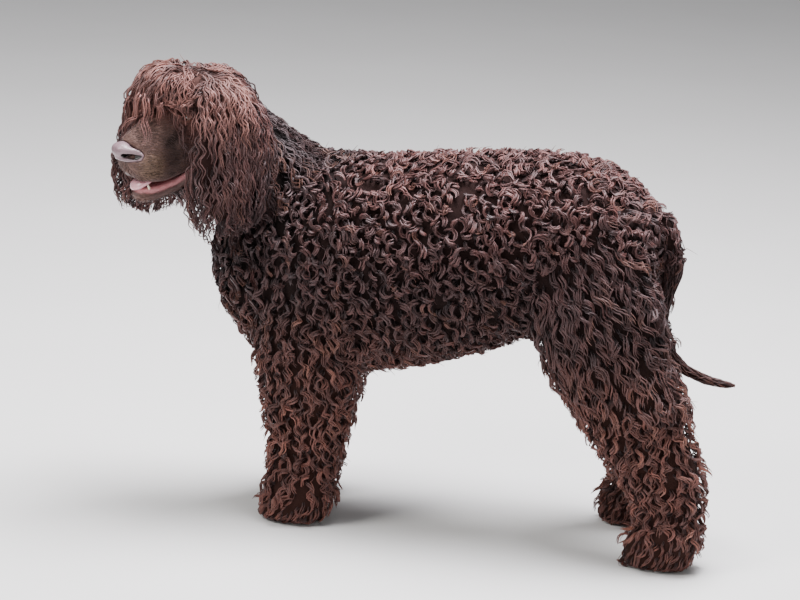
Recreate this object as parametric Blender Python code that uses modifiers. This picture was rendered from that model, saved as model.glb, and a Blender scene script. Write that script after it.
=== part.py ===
"""A life-size Irish water spaniel that stands still, its head turned to its left.

Units are metres, +Z up. The dog faces -Y and its left side is +X. The body is
modelled whole, out to the tips of its curly coat, and is then parted by thin
cuts where a person would name its parts. The head has a frame of its own, with
its origin midway between the eyes.
"""
import math

import bmesh
import bpy
from mathutils import Matrix, Vector

# ---------------------------------------------------------------- dimensions
NAME = "irish_water_spaniel"
GAP = 0.0003                 # space between pieces that touch
WITHERS = 0.600              # height of the shoulder, over the coat
RUMP = 0.632                 # highest point of the croup
TRUNK_HALF_WIDTH = 0.148     # widest half of the rib cage, over the coat
STANCE_X = 0.086             # a foot's distance from the middle plane
CENTRING = Vector((-0.0203, 0.0008, 0.0))   # puts the origin under the middle of the box

HEAD_PLACE = Vector((0.100, -0.391, 0.659))    # midway between the eyes
HEAD_YAW = math.radians(46.0)                  # turned to the dog's left
HEAD_PITCH = math.radians(13.5)                # nose down
HEAD_ROLL = math.radians(-1.5)

EYE_SPREAD = 0.036           # from the middle of the face to an eye's centre
EYE_RADIUS = 0.0115
SWELL = 3 * GAP              # how far a neighbour is swollen before it trims a piece of coat
PAW_TOP = 0.056              # height at which a paw meets its leg

BODY_VOXEL = 0.008
BODY_TRIANGLES = 2800
BODY_SIDES = 26
PIECE_SIDES = 16
DOME_SIDES = 22
CUTTER_SIDES = 18


# ---------------------------------------------------------------- scene tools
def clear_scene():
    """Removes every object."""
    for thing in list(bpy.data.objects):
        bpy.data.objects.remove(thing, do_unlink=True)


def new_collection(name):
    """A collection linked to the scene."""
    group = bpy.data.collections.new(name)
    bpy.context.scene.collection.children.link(group)
    return group


def new_object(name, mesh, group):
    """An object of its own for a mesh."""
    thing = bpy.data.objects.new(name, mesh)
    group.objects.link(thing)
    return thing


def evaluated_mesh(thing):
    """The mesh of an object with its modifiers applied."""
    graph = bpy.context.evaluated_depsgraph_get()
    return bpy.data.meshes.new_from_object(thing.evaluated_get(graph))


def bake(thing):
    """Replaces an object's mesh by its evaluated one and drops the modifiers."""
    mesh = evaluated_mesh(thing)
    thing.modifiers.clear()
    thing.data = mesh
    return thing


def triangle_count(mesh):
    """The number of triangles that a mesh's faces make."""
    return sum(len(face.vertices) - 2 for face in mesh.polygons)


# ---------------------------------------------------------------- lofts
def ring(centre, across, depth, power, sides):
    """The points of a superellipse; across and depth are its half axes as vectors."""
    points = []
    for i in range(sides):
        angle = 2 * math.pi * i / sides
        c, s = math.cos(angle), math.sin(angle)
        u = math.copysign(abs(c) ** (2 / power), c)
        v = math.copysign(abs(s) ** (2 / power), s)
        points.append(centre + across * u + depth * v)
    return points


def loft(name, rings, group, place=Matrix.Identity(4)):
    """A closed skin over a row of rings, with a flat cap at each end."""
    bm = bmesh.new()
    loops = [[bm.verts.new(place @ point) for point in points] for points in rings]
    count = len(loops[0])
    for low, high in zip(loops, loops[1:]):
        for i in range(count):
            j = (i + 1) % count
            bm.faces.new((low[i], low[j], high[j]))
            bm.faces.new((low[i], high[j], high[i]))
    bm.faces.new(loops[0][::-1])
    bm.faces.new(loops[-1])
    bmesh.ops.recalc_face_normals(bm, faces=bm.faces)
    mesh = bpy.data.meshes.new(name)
    bm.to_mesh(mesh)
    bm.free()
    return new_object(name, mesh, group)


def rings_along_y(rows, power=2.3, sides=BODY_SIDES, grow=0.0):
    """Rows of (y, top, bottom, half width), or with a sideways place as a fifth value."""
    rings = []
    for row in rows:
        y, top, bottom, half = row[:4]
        x = row[4] if len(row) > 4 else 0.0
        centre = Vector((x, y, (top + bottom) / 2))
        across = Vector((half + grow, 0, 0))
        depth = Vector((0, 0, (top - bottom) / 2 + grow))
        rings.append(ring(centre, across, depth, power, sides))
    return rings


def rings_along_z(rows, power=2.2, sides=BODY_SIDES, grow=0.0):
    """Rows of (z, x, y, half size in x, half size in y)."""
    rings = []
    for z, x, y, half_x, half_y in rows:
        across = Vector((half_x + grow, 0, 0))
        depth = Vector((0, half_y + grow, 0))
        rings.append(ring(Vector((x, y, z)), across, depth, power, sides))
    return rings


def rings_along_path(rows, power=2.0, sides=BODY_SIDES, grow=0.0):
    """Rows of (point, half width, half depth), each ring square to the path."""
    points = [Vector(row[0]) for row in rows]
    rings = []
    for i, (_, half_width, half_depth) in enumerate(rows):
        ahead = points[min(i + 1, len(points) - 1)] - points[max(i - 1, 0)]
        ahead.normalize()
        across = Vector((1, 0, 0)) - ahead * ahead.x
        across.normalize()
        depth = ahead.cross(across)
        rings.append(ring(points[i], across * (half_width + grow), depth * (half_depth + grow),
                          power, sides))
    return rings


# ---------------------------------------------------------------- the body in one
# y, top, bottom, half width: from the breastbone to the seat
TRUNK = [
    (-0.352, 0.462, 0.378, 0.030),
    (-0.330, 0.510, 0.330, 0.066),
    (-0.295, 0.550, 0.278, 0.096),
    (-0.240, 0.580, 0.243, 0.122),
    (-0.164, WITHERS, 0.232, 0.140),
    (-0.099, 0.602, 0.234, TRUNK_HALF_WIDTH),
    (-0.030, 0.607, 0.249, TRUNK_HALF_WIDTH),
    (0.040, 0.619, 0.270, TRUNK_HALF_WIDTH),
    (0.112, 0.625, 0.297, 0.145),
    (0.180, 0.630, 0.325, 0.138),
    (0.230, RUMP, 0.345, 0.136),
    (0.285, 0.621, 0.370, 0.134),
    (0.330, 0.595, 0.395, 0.122),
    (0.364, 0.562, 0.415, 0.098),
    (0.383, 0.530, 0.440, 0.060),
]

# point on the neck's axis, half width, half depth
NECK = [
    ((0.000, -0.165, 0.445), 0.120, 0.125),
    ((0.000, -0.207, 0.492), 0.112, 0.116),
    ((0.008, -0.250, 0.534), 0.104, 0.098),
    ((0.022, -0.290, 0.576), 0.094, 0.082),
    ((0.040, -0.324, 0.620), 0.078, 0.070),
    ((0.055, -0.348, 0.648), 0.060, 0.056),
]

# height, distance out from the middle plane, y, half size in x, half size in y
FORELEG = [
    (0.380, 0.074, -0.175, 0.052, 0.084),
    (0.300, STANCE_X - 0.006, -0.170, 0.058, 0.094),
    (0.230, STANCE_X - 0.003, -0.164, 0.057, 0.088),
    (0.177, STANCE_X - 0.002, -0.162, 0.053, 0.074),
    (0.125, STANCE_X, -0.162, 0.051, 0.069),
    (0.075, STANCE_X, -0.164, 0.049, 0.062),
    (0.035, STANCE_X, -0.173, 0.050, 0.061),
    (0.012, STANCE_X, -0.180, 0.049, 0.062),
    (-0.020, STANCE_X, -0.182, 0.036, 0.050),
]
FAR_FORELEG_REACH = 0.034     # the right forefoot stands this much further forward

HIND_LEFT = [
    (0.500, 0.074, 0.290, 0.058, 0.085),
    (0.420, 0.084, 0.292, 0.064, 0.106),
    (0.350, 0.090, 0.298, 0.064, 0.107),
    (0.283, 0.094, 0.330, 0.060, 0.107),
    (0.225, 0.096, 0.370, 0.056, 0.097),
    (0.163, 0.097, 0.406, 0.054, 0.088),
    (0.113, 0.098, 0.429, 0.051, 0.069),
    (0.073, 0.098, 0.436, 0.049, 0.057),
    (0.040, 0.098, 0.425, 0.050, 0.061),
    (0.012, 0.098, 0.420, 0.049, 0.061),
    (-0.020, 0.098, 0.420, 0.036, 0.048),
]
HIND_RIGHT = [
    (0.500, -0.074, 0.290, 0.058, 0.085),
    (0.420, -0.084, 0.288, 0.064, 0.104),
    (0.350, -0.090, 0.285, 0.064, 0.101),
    (0.283, -0.096, 0.300, 0.060, 0.096),
    (0.225, -0.100, 0.323, 0.056, 0.083),
    (0.163, -0.102, 0.349, 0.054, 0.074),
    (0.113, -0.102, 0.362, 0.051, 0.061),
    (0.073, -0.102, 0.362, 0.049, 0.055),
    (0.040, -0.102, 0.352, 0.050, 0.058),
    (0.012, -0.102, 0.346, 0.049, 0.059),
    (-0.020, -0.102, 0.345, 0.036, 0.046),
]

# in the head's frame: y, top, bottom, half width
SKULL = [
    (0.136, 0.000, -0.050, 0.030),
    (0.122, 0.018, -0.066, 0.050),
    (0.095, 0.036, -0.078, 0.062),
    (0.060, 0.046, -0.086, 0.067),
    (0.030, 0.046, -0.090, 0.065),
    (0.008, 0.034, -0.088, 0.056),
    (-0.012, 0.018, -0.084, 0.044),
    (-0.026, 0.004, -0.080, 0.036),
]
MUZZLE = [
    (0.030, 0.012, -0.080, 0.046),
    (0.000, 0.008, -0.086, 0.042),
    (-0.028, 0.000, -0.089, 0.036),
    (-0.055, -0.006, -0.091, 0.035),
    (-0.080, -0.011, -0.091, 0.035),
    (-0.098, -0.016, -0.086, 0.031),
    (-0.109, -0.022, -0.076, 0.023),
]
MUZZLE_POWER = 2.7


def head_matrix():
    """The head's place and turn."""
    turn = Matrix.Rotation(HEAD_YAW, 4, "Z") @ Matrix.Rotation(HEAD_PITCH, 4, "X")
    return Matrix.Translation(HEAD_PLACE) @ turn @ Matrix.Rotation(HEAD_ROLL, 4, "Y")


def hanging_matrix():
    """The head's place and yaw alone, for what hangs from it."""
    return Matrix.Translation(HEAD_PLACE) @ Matrix.Rotation(HEAD_YAW, 4, "Z")


def right_foreleg_rows():
    """The left foreleg's rows on the other side, reaching further forward at the foot."""
    top = FORELEG[0][0]
    rows = []
    for z, x, y, half_x, half_y in FORELEG:
        reach = FAR_FORELEG_REACH * min(1.0, (top - z) / top)
        rows.append((z, -x, y - reach, half_x, half_y))
    return rows


def join(name, things, group):
    """One object that holds the meshes of several, which are removed."""
    bm = bmesh.new()
    for thing in things:
        bm.from_mesh(thing.data)
        bpy.data.objects.remove(thing)
    mesh = bpy.data.meshes.new(name)
    bm.to_mesh(mesh)
    bm.free()
    return new_object(name, mesh, group)


def whole_body(group):
    """Trunk, neck, skull and legs grown into one closed skin of few triangles."""
    pieces = [
        loft("trunk_form", rings_along_y(TRUNK), group),
        loft("neck_form", rings_along_path(NECK), group),
        loft("foreleg_form_left", rings_along_z(FORELEG), group),
        loft("foreleg_form_right", rings_along_z(right_foreleg_rows()), group),
        loft("hindleg_form_left", rings_along_z(HIND_LEFT), group),
        loft("hindleg_form_right", rings_along_z(HIND_RIGHT), group),
        loft("skull_form", rings_along_y(SKULL), group, head_matrix()),
        loft("muzzle_form", rings_along_y(MUZZLE, MUZZLE_POWER), group, head_matrix()),
    ]
    body = join("body", pieces, group)
    remesh = body.modifiers.new("Grow together", "REMESH")
    remesh.mode = "VOXEL"
    remesh.voxel_size = BODY_VOXEL
    bake(body)
    soften = body.modifiers.new("Soften", "SMOOTH")
    soften.factor = 0.5
    soften.iterations = 5
    reduce = body.modifiers.new("Reduce", "DECIMATE")
    reduce.ratio = BODY_TRIANGLES / triangle_count(body.data)
    return bake(body)


# ---------------------------------------------------------------- cutting
def cut(thing, cutter, operation):
    """Applies one exact Boolean."""
    boolean = thing.modifiers.new(operation.title(), "BOOLEAN")
    boolean.operation = operation
    boolean.solver = "EXACT"
    boolean.object = cutter
    return bake(thing)


def copy_of(thing, name, group):
    """A second object with its own copy of the mesh."""
    return new_object(name, thing.data.copy(), group)


def keep_largest(thing):
    """Drops the crumbs that a cut may leave beside the piece."""
    bm = bmesh.new()
    bm.from_mesh(thing.data)
    bmesh.ops.remove_doubles(bm, verts=bm.verts, dist=0.00002)
    bmesh.ops.dissolve_degenerate(bm, edges=bm.edges, dist=0.00002)
    left = set(bm.verts)
    bodies = []
    while left:
        body = {left.pop()}
        edge = list(body)
        while edge:
            near = {e.other_vert(v) for v in edge for e in v.link_edges} - body
            body |= near
            edge = list(near)
        left -= body
        bodies.append(body)
    bodies.sort(key=len)
    crumbs = [vertex for body in bodies[:-1] for vertex in body]
    bmesh.ops.delete(bm, geom=crumbs, context="VERTS")
    bm.to_mesh(thing.data)
    bm.free()
    return thing


def swollen(thing, name, amount, group):
    """A copy whose skin stands out by a small amount, to cut a neighbour with."""
    fat = copy_of(thing, name, group)
    swell = fat.modifiers.new("Swell", "DISPLACE")
    swell.strength = amount
    swell.mid_level = 0.0
    return bake(fat)


def half_space(name, point, normal, group, grow=0.0):
    """A large block on the side of a plane that the normal points to."""
    size = 1.0
    bm = bmesh.new()
    bmesh.ops.create_cube(bm, size=size)
    normal = Vector(normal).normalized()
    turn = normal.to_track_quat("Z", "Y").to_matrix().to_4x4()
    centre = Vector(point) + normal * (size / 2 - grow)
    bmesh.ops.transform(bm, matrix=Matrix.Translation(centre) @ turn, verts=bm.verts)
    mesh = bpy.data.meshes.new(name)
    bm.to_mesh(mesh)
    bm.free()
    return new_object(name, mesh, group)


def split_off(body, name, region, parts, cutters):
    """Parts the stretch of the body that lies in a region; region(grow) makes the cutter."""
    piece = copy_of(body, name, parts)
    cut(piece, region(name + "_inside", 0.0, cutters), "INTERSECT")
    cut(body, region(name + "_outside", GAP, cutters), "DIFFERENCE")
    return keep_largest(piece)


def plane_region(point, normal):
    """A region function for one side of a plane."""
    return lambda name, grow, group: half_space(name, point, normal, group, grow)


# height, distance out, y, half size in x, half size in y: where a foreleg leaves the body
SHOULDER_REGION = [
    (0.455, 0.180, -0.205, 0.050, 0.012),
    (0.425, 0.180, -0.200, 0.065, 0.052),
    (0.360, 0.180, -0.185, 0.095, 0.086),
    (0.290, 0.180, -0.172, 0.135, 0.110),
    (0.230, 0.180, -0.172, 0.168, 0.130),
    (-0.050, 0.180, -0.190, 0.172, 0.150),
]
# the same for a thigh
HAUNCH_REGION = [
    (0.560, 0.180, 0.300, 0.050, 0.015),
    (0.520, 0.180, 0.300, 0.075, 0.070),
    (0.430, 0.180, 0.300, 0.120, 0.125),
    (0.350, 0.180, 0.315, 0.165, 0.150),
    (0.250, 0.180, 0.340, 0.176, 0.170),
    (-0.050, 0.180, 0.380, 0.176, 0.220),
]


def limb_region(rows, side):
    """A region function for a limb on one side, side = 1 for the left."""
    def make(name, grow, group):
        raised = [(z + 2 * grow, x * side, y, half_x, half_y) for z, x, y, half_x, half_y in rows]
        return loft(name, rings_along_z(raised, 2.4, CUTTER_SIDES, grow), group)
    return make


# ---------------------------------------------------------------- small pieces
# in the head's frame: y, top, bottom, half width
NOSE = [
    (-0.090, -0.018, -0.038, 0.0190),
    (-0.101, -0.0165, -0.046, 0.0215),
    (-0.109, -0.019, -0.050, 0.0225),
    (-0.116, -0.022, -0.052, 0.0200),
    (-0.121, -0.028, -0.049, 0.0120),
]
NOSTRIL_PLACE = (0.0115, -0.1215, -0.0385)
NOSTRIL_RADIUS = 0.0042

JAW = [
    (0.036, -0.074, -0.112, 0.042),
    (0.005, -0.083, -0.121, 0.036),
    (-0.025, -0.090, -0.125, 0.029),
    (-0.055, -0.097, -0.127, 0.024),
    (-0.078, -0.102, -0.127, 0.021),
    (-0.092, -0.105, -0.121, 0.015),
]
TONGUE = [
    (-0.020, -0.0815, -0.0880, 0.014),
    (-0.045, -0.0865, -0.0935, 0.018),
    (-0.070, -0.0910, -0.0990, 0.019),
    (-0.086, -0.0945, -0.1035, 0.017),
    (-0.096, -0.0995, -0.1055, 0.011),
]

# above the eyes' height, x, y, half width, half length, in the head's frame without its tilt
TOPKNOT = [
    (-0.085, 0.0, 0.062, 0.068, 0.056),
    (-0.050, 0.0, 0.058, 0.092, 0.076),
    (-0.015, 0.0, 0.046, 0.108, 0.086),
    (0.016, -0.002, 0.038, 0.118, 0.088),
    (0.040, -0.005, 0.032, 0.116, 0.085),
    (0.057, -0.006, 0.024, 0.100, 0.072),
    (0.070, -0.006, 0.014, 0.072, 0.050),
    (0.079, -0.006, 0.008, 0.034, 0.026),
]
# the lower edge of the fringe: all of the topknot below and before this plane is open face
FRINGE_POINT = (0.0, -0.036, 0.016)
FRINGE_NORMAL = (0.0, -0.62, -1.0)

EAR_SWING = {1: 0.000, -1: -0.024}    # how far to the rear each ear's tip hangs
EAR_SET = {1: 0.017, -1: 0.000}       # how far to the rear each ear grows, in y
# below the eyes' height, out from the head, y, half thickness, half length
EAR = [
    (0.036, 0.078, 0.030, 0.018, 0.044),
    (0.010, 0.087, 0.030, 0.032, 0.076),
    (-0.045, 0.092, 0.030, 0.036, 0.085),
    (-0.100, 0.095, 0.030, 0.037, 0.084),
    (-0.140, 0.096, 0.030, 0.035, 0.072),
    (-0.166, 0.095, 0.030, 0.027, 0.052),
    (-0.182, 0.094, 0.030, 0.013, 0.026),
]

# point, half width, half depth
TAIL = [
    ((0.0, 0.345, 0.560), 0.024, 0.024),
    ((0.0, 0.380, 0.532), 0.027, 0.027),
    ((0.0, 0.398, 0.492), 0.025, 0.024),
    ((0.0, 0.401, 0.452), 0.019, 0.019),
    ((0.0, 0.394, 0.417), 0.0135, 0.0135),
    ((0.0, 0.388, 0.385), 0.0105, 0.0105),
    ((0.0, 0.391, 0.352), 0.0095, 0.0095),
    ((0.0, 0.405, 0.322), 0.0092, 0.0092),
    ((0.0, 0.431, 0.298), 0.0088, 0.0088),
    ((0.0, 0.465, 0.285), 0.0078, 0.0078),
    ((0.0, 0.496, 0.281), 0.0060, 0.0060),
    ((0.0, 0.512, 0.281), 0.0030, 0.0030),
]
TAIL_SIDES = 10
TAIL_PARTING = 0.440         # below this height the tail is smooth-haired


def eyeball(name, side, group, grow=0.0):
    """A ball in its socket."""
    bm = bmesh.new()
    bmesh.ops.create_uvsphere(bm, u_segments=12, v_segments=8, radius=EYE_RADIUS + grow)
    place = head_matrix() @ Matrix.Translation((side * EYE_SPREAD, 0.0, 0.0))
    bmesh.ops.transform(bm, matrix=place, verts=bm.verts)
    mesh = bpy.data.meshes.new(name)
    bm.to_mesh(mesh)
    bm.free()
    return new_object(name, mesh, group)


def nose(name, group, grow=0.0):
    """The nose leather, without its nostrils."""
    return loft(name, rings_along_y(NOSE, 2.4, PIECE_SIDES, grow), group, head_matrix())


def nostril(name, side, group):
    """A short slanting hole in the nose leather."""
    bm = bmesh.new()
    bmesh.ops.create_uvsphere(bm, u_segments=10, v_segments=6, radius=NOSTRIL_RADIUS)
    x, y, z = NOSTRIL_PLACE
    place = head_matrix() @ Matrix.Translation((side * x, y, z)) @ Matrix.Diagonal((1, 1.6, 0.8, 1))
    bmesh.ops.transform(bm, matrix=place, verts=bm.verts)
    mesh = bpy.data.meshes.new(name)
    bm.to_mesh(mesh)
    bm.free()
    return new_object(name, mesh, group)


def lower_jaw(name, group, grow=0.0):
    """The lower jaw, a little open."""
    return loft(name, rings_along_y(JAW, 2.5, PIECE_SIDES, grow), group, head_matrix())


def tongue(name, group, grow=0.0):
    """The tongue, lying on the lower jaw."""
    return loft(name, rings_along_y(TONGUE, 2.5, PIECE_SIDES, grow), group, head_matrix())


def ear(name, side, group):
    """The long ear with the hair that hangs from it."""
    drop = EAR[-1][0]
    rows = []
    for z, x, y, thick, length in EAR:
        back = EAR_SET[side] + EAR_SWING[side] * max(0.0, z / drop)
        rows.append((z, x * side, y + back, thick, length - 0.3 * EAR_SET[side]))
    return loft(name, rings_along_z(rows, 2.3, PIECE_SIDES), group, hanging_matrix())


def topknot(name, group):
    """The dome of hair on the skull, open over the face."""
    return loft(name, rings_along_z(TOPKNOT, 2.1, DOME_SIDES), group, hanging_matrix())


def tail(name, group):
    """The whole tail."""
    return loft(name, rings_along_path(TAIL, 2.0, TAIL_SIDES), group)


# ---------------------------------------------------------------- materials
FINISHES = {
    "coat": ((0.060, 0.030, 0.024), 0.75),
    "head_coat": ((0.110, 0.050, 0.035), 0.75),
    "face": ((0.090, 0.050, 0.040), 0.55),
    "nose": ((0.095, 0.055, 0.055), 0.30),
    "tongue": ((0.500, 0.190, 0.200), 0.30),
    "eye": ((0.060, 0.025, 0.012), 0.05),
}


def finish_of(name):
    """The finish that a part wears."""
    if name.startswith("eye"):
        return "eye"
    if name in ("nose", "tongue"):
        return name
    if name in ("head", "lower_jaw"):
        return "face"
    if name == "topknot" or name.startswith("ear"):
        return "head_coat"
    return "coat"


def paint(thing):
    """Gives a part a material of its own."""
    colour, roughness = FINISHES[finish_of(thing.name)]
    material = bpy.data.materials.new(thing.name)
    material.use_nodes = True
    shader = material.node_tree.nodes["Principled BSDF"]
    shader.inputs["Base Color"].default_value = (*colour, 1)
    shader.inputs["Roughness"].default_value = roughness
    shader.inputs["Metallic"].default_value = 0.0
    thing.data.materials.clear()
    thing.data.materials.append(material)


# ---------------------------------------------------------------- assembly
def part_body(body, parts, cutters):
    """Divides the whole body into head, neck, limbs and trunk."""
    cut(body, half_space("floor_cutter", (0, 0, 0), (0, 0, -1), cutters), "DIFFERENCE")
    head = split_off(body, "head", plane_region((0.030, -0.302, 0.604), (0.50, -0.55, 0.67)),
                     parts, cutters)
    split_off(body, "neck", plane_region((0.0, -0.262, 0.505), (0.0, -0.73, 0.68)), parts, cutters)
    for side, word in ((1, "left"), (-1, "right")):
        leg = split_off(body, "foreleg_" + word, limb_region(SHOULDER_REGION, side), parts, cutters)
        split_off(leg, "forepaw_" + word, plane_region((0, 0, PAW_TOP), (0, 0, -1)), parts, cutters)
        keep_largest(leg)
        leg = split_off(body, "thigh_" + word, limb_region(HAUNCH_REGION, side), parts, cutters)
        shank = split_off(leg, "shank_" + word, plane_region((0, 0.33, 0.268), (0, 0.30, -1)),
                          parts, cutters)
        split_off(shank, "hindpaw_" + word, plane_region((0, 0, PAW_TOP), (0, 0, -1)), parts, cutters)
        keep_largest(shank)
        keep_largest(leg)
    keep_largest(body)
    body.name = "trunk"
    body.data.name = "trunk"
    parts.objects.link(body)
    return head


def fit_face(head, parts, cutters):
    """Sets the eyes, nose, jaw and tongue into the head."""
    for side, word in ((1, "left"), (-1, "right")):
        cut(head, eyeball("socket_" + word, side, cutters, GAP), "DIFFERENCE")
        eyeball("eye_" + word, side, parts)
    cut(head, nose("nose_bed", cutters, GAP), "DIFFERENCE")
    leather = nose("nose", parts)
    for side, word in ((1, "left"), (-1, "right")):
        cut(leather, nostril("nostril_" + word, side, cutters), "DIFFERENCE")
    cut(head, lower_jaw("jaw_bed", cutters, GAP), "DIFFERENCE")
    jaw = lower_jaw("lower_jaw", parts)
    cut(head, tongue("tongue_bed", cutters, GAP), "DIFFERENCE")
    cut(jaw, tongue("tongue_seat", cutters, GAP), "DIFFERENCE")
    tongue("tongue", parts)
    keep_largest(jaw)
    keep_largest(head)


def fit_over(piece, fat_neighbours):
    """Trims a piece of coat so that it lies round its swollen neighbours."""
    for fat in fat_neighbours:
        cut(piece, fat, "DIFFERENCE")
    return keep_largest(piece)


def add_ears_and_topknot(flesh, parts, cutters):
    """Hangs the ears on the head and lays the topknot over both."""
    ears = [ear("ear_left", 1, parts), ear("ear_right", -1, parts)]
    for piece in ears:
        fit_over(piece, flesh)
    dome = topknot("topknot", parts)
    turn = hanging_matrix()
    face_side = turn.to_3x3() @ Vector(FRINGE_NORMAL)
    opening = half_space("face_opening", turn @ Vector(FRINGE_POINT), face_side, cutters)
    around = [swollen(piece, "fat_" + piece.name, SWELL, cutters) for piece in ears]
    eyes = [eyeball("fat_eye", side, cutters, SWELL) for side in (1, -1)]
    fit_over(dome, [opening] + flesh + around + eyes)


def add_tail(cutters, parts):
    """Sets the tail against the rump and parts its curly root from its smooth end."""
    near = [bpy.data.objects[name] for name in ("trunk", "thigh_left", "thigh_right")]
    root = tail("tail_root", parts)
    fit_over(root, [swollen(piece, "fat_behind_" + piece.name, SWELL, cutters) for piece in near])
    split_off(root, "tail", plane_region((0, 0, TAIL_PARTING), (0, 0.10, -1)), parts, cutters)
    keep_largest(root)


def build():
    """Makes every part."""
    clear_scene()
    parts = new_collection(NAME)
    cutters = new_collection(NAME + "_cutters")
    body = whole_body(cutters)
    head = part_body(body, parts, cutters)
    cutters.objects.unlink(body)
    flesh = [swollen(piece, "fat_" + piece.name, SWELL, cutters)
             for piece in (head, bpy.data.objects["neck"], body)]
    fit_face(head, parts, cutters)
    add_ears_and_topknot(flesh, parts, cutters)
    add_tail(cutters, parts)
    for thing in parts.objects:
        thing.data.transform(Matrix.Translation(CENTRING))
        paint(thing)
    for cutter in cutters.objects:
        cutter.hide_render = True
        cutter.display_type = "WIRE"


build()
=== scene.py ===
# %% [markdown]
# # A life-size Irish water spaniel
# The dog stands still on a pale floor with its head turned towards us. The solids underneath come ready made,
# as the frame. This lesson gives them one skin, a sculpted face, eyes, nose and tongue, and then a curly coat that
# Geometry Nodes grow from the skin, lock by lock.

import math

import bpy
import numpy as np
import openvdb
from mathutils import Matrix, Vector
from mathutils.bvhtree import BVHTree
from mathutils.kdtree import KDTree


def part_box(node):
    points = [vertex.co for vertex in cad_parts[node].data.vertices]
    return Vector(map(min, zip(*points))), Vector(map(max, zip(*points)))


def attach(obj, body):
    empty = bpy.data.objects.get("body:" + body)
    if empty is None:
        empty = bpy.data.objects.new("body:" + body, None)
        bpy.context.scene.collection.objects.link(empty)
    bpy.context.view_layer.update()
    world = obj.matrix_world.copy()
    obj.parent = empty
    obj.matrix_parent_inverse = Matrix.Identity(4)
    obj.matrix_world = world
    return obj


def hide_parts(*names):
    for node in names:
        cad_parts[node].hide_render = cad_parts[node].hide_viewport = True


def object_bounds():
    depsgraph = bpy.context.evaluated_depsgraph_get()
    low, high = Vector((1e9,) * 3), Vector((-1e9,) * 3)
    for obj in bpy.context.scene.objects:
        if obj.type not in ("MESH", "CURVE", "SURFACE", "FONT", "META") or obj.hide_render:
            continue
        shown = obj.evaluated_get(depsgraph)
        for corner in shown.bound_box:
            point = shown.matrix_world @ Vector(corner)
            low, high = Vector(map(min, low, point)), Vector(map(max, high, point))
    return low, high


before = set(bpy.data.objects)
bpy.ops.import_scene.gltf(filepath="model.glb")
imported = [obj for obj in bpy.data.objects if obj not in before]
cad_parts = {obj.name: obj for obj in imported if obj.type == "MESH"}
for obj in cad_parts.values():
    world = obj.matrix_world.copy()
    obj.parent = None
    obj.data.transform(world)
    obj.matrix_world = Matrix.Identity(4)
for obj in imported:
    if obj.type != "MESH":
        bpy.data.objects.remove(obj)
CAD_LOW, CAD_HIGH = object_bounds()
print("frame loaded,", len(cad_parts), "nodes, box", [round(v, 3) for v in (*CAD_LOW, *CAD_HIGH)])

# %% [markdown]
# ## Camera, floor and light
# We look at the dog's left side from a little in front and a little above, through a long lens, so that nothing
# near the camera swells. The camera is turned a few degrees about its own axis. Three broad lamps and a pale
# world give soft studio light: the coat is nearly black in its hollows, so the highlights must draw the curls.

# %% camera
TARGET = Vector((-0.0203, -0.0362, 0.362))
AZIMUTH, ELEVATION, ROLL = (math.radians(angle) for angle in (102, 15, 3))
CAMERA_DISTANCE, LENS, SENSOR = 5.0, 139.5, 36


def show(name, data):
    """an object with this data, put into the scene"""
    made = bpy.data.objects.new(name, data)
    bpy.context.scene.collection.objects.link(made)
    return made


# The camera's axes point right, up and back from the target; the roll turns the first two.
flat, cos, sin = math.cos(ELEVATION), math.cos(ROLL), math.sin(ROLL)
back = Vector((math.sin(AZIMUTH) * flat, -math.cos(AZIMUTH) * flat, math.sin(ELEVATION)))
right = Vector((math.cos(AZIMUTH), math.sin(AZIMUTH), 0))
up = back.cross(right)
axes = Matrix((right * cos + up * sin, up * cos - right * sin, back)).transposed()
camera = show("camera", bpy.data.cameras.new("camera"))
camera.data.lens, camera.data.sensor_width = LENS, SENSOR
camera.matrix_world = Matrix.Translation(TARGET + back * CAMERA_DISTANCE) @ axes.to_4x4()
bpy.context.scene.camera = camera
print("camera at", [round(v, 2) for v in camera.location])


# %% small helpers for node trees
TREE = None


def open_tree(tree):
    """new nodes go into this tree from now on"""
    global TREE
    TREE = tree
    return tree


class Wire:
    """an output of a node; arithmetic with it adds the node that works out the answer"""

    def __init__(self, socket):
        self.socket = socket

    def __getitem__(self, key):
        """another output of the same node"""
        return Wire(self.socket.node.outputs[key])


def fill(socket, value):
    """links an input to a wire, or sets it to a value"""
    if isinstance(value, Wire):
        TREE.links.new(value.socket, socket)
    else:
        socket.default_value = value


def put(kind, values=None, pick=0, family="Shader", **settings):
    """adds a node to the open tree, fills its inputs, and returns one of its outputs"""
    made = TREE.nodes.new(f"{family}Node{kind}")
    for key, value in settings.items():
        setattr(made, key, value)
    for key, value in (values or {}).items():
        fill(made.inputs[key], value)
    return Wire(made.outputs[pick])


def calc(job, *terms):
    """a sine, the larger of two and so on, for numbers"""
    return put("Math", dict(enumerate(terms)), operation=job)


def vector(job, *terms, pick=0):
    """a cross product and so on, for arrows"""
    return put("VectorMath", dict(enumerate(terms)), pick=pick, operation=job)


def reckon(job, first, second):
    """one step of arithmetic; an arrow or a colour times a number is stretched by it"""
    if not isinstance(first, Wire) or first.socket.type not in ("VECTOR", "RGBA"):
        return calc(job, first, second)
    if job == "MULTIPLY":
        return put("VectorMath", {0: first, "Scale": second}, operation="SCALE")
    return vector(job, first, second)


for sign, job in (("add", "ADD"), ("sub", "SUBTRACT"), ("mul", "MULTIPLY"), ("truediv", "DIVIDE")):
    setattr(Wire, f"__{sign}__", lambda self, other, job=job: reckon(job, self, other))
    setattr(Wire, f"__r{sign}__", lambda self, other, job=job: reckon(job, other, self))


def dot(first, second):
    return vector("DOT_PRODUCT", first, second, pick=1)


def arrow(x, y, z):
    return put("CombineXYZ", {0: x, 1: y, 2: z})


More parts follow.
